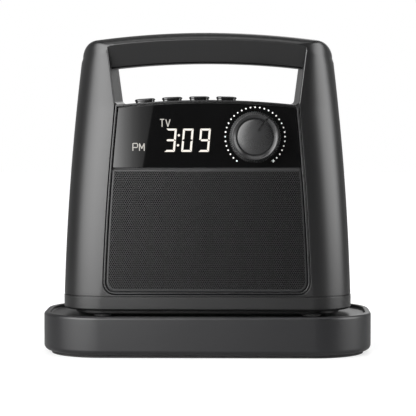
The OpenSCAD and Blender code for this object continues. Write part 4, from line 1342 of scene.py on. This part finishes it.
def woven(name, threads=1400.0):
    """Thin black cloth behind the grille: two wave patterns crossed."""
    material, tree, shader = start_material(name)
    place = object_place(tree)
    waves = [put(tree, "ShaderNodeTexWave", [("Vector", place), ("Scale", threads / 6.28)],
                 bands_direction=axis).outputs["Fac"] for axis in ("X", "Z")]
    weave = sums(tree, "MAXIMUM", *waves)
    tree.links.new(tones(tree, weave, grey(0.0008), grey(0.003)), shader.inputs["Base Color"])
    tree.links.new(blend_value(tree, weave, 0.95, 0.8), shader.inputs["Roughness"])
    bumped(tree, shader, weave, 0.08 * MM)
    shader.inputs["Specular IOR Level"].default_value = 0.04
    return material


def lit(name, colour, strength):
    material, tree, shader = start_material(name)
    place = object_place(tree)
    noise = put(tree, "ShaderNodeTexNoise", [("Vector", place), ("Scale", 250.0)]).outputs[0]
    shade = tones(tree, noise, [c * 0.9 for c in colour], colour)
    tree.links.new(shade, shader.inputs["Emission Color"])
    shader.inputs["Emission Strength"].default_value = strength
    shader.inputs["Base Color"].default_value = (0.02, 0.02, 0.02, 1)
    return material


cloth = woven("grille_cloth_weave")
lit_white = lit("lit_figures", (1.0, 0.93, 0.84), 1.0)
dim_white = lit("lit_word_white", (0.72, 0.68, 0.62), 0.75)
mark_paint = plain("white_marks", (0.7, 0.7, 0.68), (0.82, 0.82, 0.8), (0.4, 0.5), 0.0, 900)
print("materials", len(bpy.data.materials))

# %% [markdown]
# ## Handing the pieces over
# A table says for each new piece the body it rides on, its slot, its material and the plain node
# it stands for. The plain nodes that already have the right shape only get a better material.

# %% Pieces and bodies
unit, knob_body, base = "speaker_unit", "volume_knob", "cradle"
handed = [
    (housing, unit, "housing", housing_plastic, ["front_shell"]),
    (rear, unit, "housing", housing_plastic, ["rear_shell"]),
    (cover, unit, "housing", housing_plastic, ["bottom_cover"]),
    (bezel, unit, "bezel_trim", bezel_plastic, ["bezel"]),
    (panel, unit, "gloss_panel", panel_gloss, ["display_panel"]),
    (grille_sheets[0], unit, "grille_metal", grille_metal, ["grille"]),
    (grille_sheets[1], unit, "grille_metal", grille_metal, ["grille"]),
    (grille_border, unit, "grille_metal", grille_metal, ["grille"]),
    (dial_marks, unit, "gloss_panel", mark_paint, []),
    (star, unit, "gloss_panel", mark_paint, []),
    (clock, unit, "gloss_panel", lit_white, []),
    (words, unit, "gloss_panel", dim_white, []),
    (knob_skirt, knob_body, "knob_plastic", knob_plastic, ["knob"]),
    (knob_dome, knob_body, "knob_plastic", knob_plastic, ["knob_cap"]),
    (door, "battery_cover", "housing", housing_plastic, ["battery_door"]),
    (rear_screws, unit, "screw_steel", screw_steel, ["shell_screws"]),
    (cover_screws, unit, "screw_steel", screw_steel, ["cover_screws"]),
    (base_screws, base, "screw_steel", screw_steel, ["base_screws"]),
    (cradle, base, "cradle_plastic", cradle_plastic, ["base_tray"]),
]
handed += [(k, f"button_{i + 1}", "button_gloss", key_gloss, [f"button_{i + 1}"])
           for i, k in enumerate(keys)]
for piece, body, slot, material, nodes in handed:
    hand_over(piece, body, material, nodes)

carried = {
    inner_plastic: ["baffle", "display_module", "battery_tray", "headphone_jack", "base_plate",
                    "dc_jack", "pin_block", "button_switches"],
    rubber: ["unit_feet", "base_foot"], cloth: ["grille_cloth"],
    steel: ["speaker_basket", "volume_control", "volume_shaft"], screw_steel: ["driver_screws"],
    magnet_grey: ["speaker_magnet"], cone_paper: ["speaker_cone"],
    board_green: ["main_board", "button_board", "base_board"], wrap_blue: ["battery_pack"],
    contact_gold: ["contact_pads", "charge_pin_left", "charge_pin_right"]}
for material, names in carried.items():
    for name in names:
        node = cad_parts[name]
        node.data.materials.clear()
        node.data.materials.append(material)
print("carried over", sum(len(names) for names in carried.values()), "nodes")

# %% [markdown]
# ## Light, floor and camera
# The studio is white behind the object and dark in front of it. Black plastic shows what stands
# in front, so two glowing walls, bent round the object, draw its corners. The left one starts
# with a slanted edge and a fading tone, which is the sheen on the display panel. A soft box above
# draws the deck and the rims, and a weak one behind keeps the rear legible.

# %% Studio
def soft_box(name, azimuth, distance, height, size, radiance, aim=(0, 0, 0.11)):
    """A rectangular light round the object; azimuth 0 is in front of it and 90 to its right."""
    a = math.radians(azimuth)
    data = bpy.data.lights.new(name, "AREA")
    data.shape = "RECTANGLE"
    data.size, data.size_y = size
    data.energy = radiance * math.pi * size[0] * size[1]
    lamp = collect(bpy.data.objects.new(name, data))
    lamp.location = (distance * math.sin(a), -distance * math.cos(a), height)
    lamp.rotation_euler = (Vector(aim) - lamp.location).to_track_quat("-Z", "Y").to_euler()
    lamp.visible_camera = False
    return lamp


def ramp(tree, value, stops):
    """A value that runs through (place, level) stops in straight lines."""
    total = None
    for (a, low), (b, high) in zip(stops, stops[1:]):
        part = put(tree, "ShaderNodeMapRange", [(0, value), (1, a), (2, b), (3, 0.0), (4, high - low)])
        total = plus(tree, part.outputs[0], low if total is None else total)
    return total


wall_radius, wall_high, wall_steps = 0.84, 1.0, 24


def arc_card(name, edge, end, stops, upwards, slant=0.0, edge_up=0.0):
    """A glowing wall from the floor up, round the object; edge, end and stops are azimuths."""
    material = bpy.data.materials.new(name)
    material.use_nodes = True
    tree = material.node_tree
    tree.nodes.clear()
    shine = put(tree, "ShaderNodeEmission")
    put(tree, "ShaderNodeOutputMaterial", [(0, shine.outputs[0])])
    place = put(tree, "ShaderNodeSeparateXYZ", [(0, object_place(tree))])
    depth = times(tree, place.outputs["Y"], -1.0)
    turn = sums(tree, "DEGREES", sums(tree, "ARCTAN2", place.outputs["X"], depth))
    level = times(tree, ramp(tree, turn, stops), ramp(tree, place.outputs["Z"], upwards))
    tree.links.new(level, shine.inputs["Strength"])
    n = wall_steps
    points = []
    for z in (0.0, wall_high):
        near = edge + slant * (z - edge_up)
        angles = [math.radians(near + (end - near) * k / n) for k in range(n + 1)]
        points += [(wall_radius * math.sin(a) / MM, -wall_radius * math.cos(a) / MM, z / MM) for a in angles]
    card = solid(name, points, [(k, k + 1, n + 2 + k, n + 1 + k) for k in range(n)])
    card.data.materials.append(material)
    card.visible_camera = False
    return card


left_edge, left_end, edge_slant, edge_up = -5.01, -84, 11.95, 0.2155
arc_card("left_card", left_edge, left_end,
         [(-84, 1.0), (-72, 6.0), (-50, 9.0), (-25, 8.0), (-10, 7.0), (-8.3, 7.5), (-7.7, 5.0), (-7.1, 2.9),
          (-6.5, 1.5), (-5.9, 0.8), (-5.0, 0.35)],
         [(0.0, 0.35), (0.1, 1.0), (0.7, 1.0), (1.0, 0.4)], edge_slant, edge_up)
right_edge, right_end = 54, 102
arc_card("right_card", right_edge, right_end, [(54, 1.5), (64, 5.5), (90, 6.5), (102, 2.0)],
         [(0.0, 0.3), (0.12, 1.0), (0.7, 1.0), (1.0, 0.4)])
soft_box("top_box", 0, 0.25, 1.5, (1.1, 0.8), 1.8)
soft_box("rear_box", 165, 1.5, 0.7, (0.8, 0.7), 1.4)

world = bpy.data.worlds.new("studio")
bpy.context.scene.world = world
world.use_nodes = True
sky = world.node_tree
sky.nodes.clear()
ray = put(sky, "ShaderNodeLightPath").outputs["Is Camera Ray"]
aim = put(sky, "ShaderNodeSeparateXYZ", [(0, put(sky, "ShaderNodeTexCoord").outputs["Generated"])])
front_level, rear_level = 0.05, 0.35
fade = put(sky, "ShaderNodeMapRange", [(0, aim.outputs["Y"]), (1, -0.3), (2, 0.9), (3, front_level),
                                       (4, rear_level)])
dim, white = [put(sky, "ShaderNodeBackground", [("Color", (1, 1, 1, 1)), ("Strength", level)])
              for level in (fade.outputs[0], 1.0)]
both = put(sky, "ShaderNodeMixShader", [(0, ray), (1, dim.outputs[0]), (2, white.outputs[0])])
put(sky, "ShaderNodeOutputWorld", [(0, both.outputs[0])])

reach = 3000
floor = solid("floor", [(-reach, -reach, 0), (reach, -reach, 0), (reach, reach, 0), (-reach, reach, 0)],
              [(0, 1, 2, 3)])
pale, pale_tree, pale_shader = start_material("pale_floor")
for label, value in (("Base Color", (0.3, 0.3, 0.3, 1)), ("Roughness", 0.5),
                     ("Emission Color", (1, 1, 1, 1))):
    pale_shader.inputs[label].default_value = value
# For camera rays the floor glows 0.9 from half a metre out and dims to 0.55 near the object's middle: a
# painted shadow round the object, added to the real shadows the lamps cast on its diffuse base.
here = put(pale_tree, "ShaderNodeVectorMath", [
    (0, object_place(pale_tree))], operation="LENGTH").outputs["Value"]
camera_glow_painted_shadow = times(pale_tree, put(pale_tree, "ShaderNodeLightPath").outputs["Is Camera Ray"],
             ramp(pale_tree, here, [(0.15, 0.55), (0.5, 0.9)]))
pale_tree.links.new(plus(pale_tree, camera_glow_painted_shadow, 0.1), pale_shader.inputs["Emission Strength"])
floor.data.materials.append(pale)

# %% Camera
camera_data = bpy.data.cameras.new("camera")
camera_data.sensor_width = 36
camera_data.lens = 166.4
camera_data.clip_start, camera_data.clip_end = 0.05, 20
camera = collect(bpy.data.objects.new("camera", camera_data))
camera.location = (0.025, -1.286, 0.1695)
target = Vector((0.0009, -0.036, 0.0972))
camera.rotation_mode = "QUATERNION"
camera.rotation_quaternion = (target - camera.location).to_track_quat("-Z", "Y")
bpy.context.scene.camera = camera
bpy.context.scene.view_settings.view_transform = "Standard"
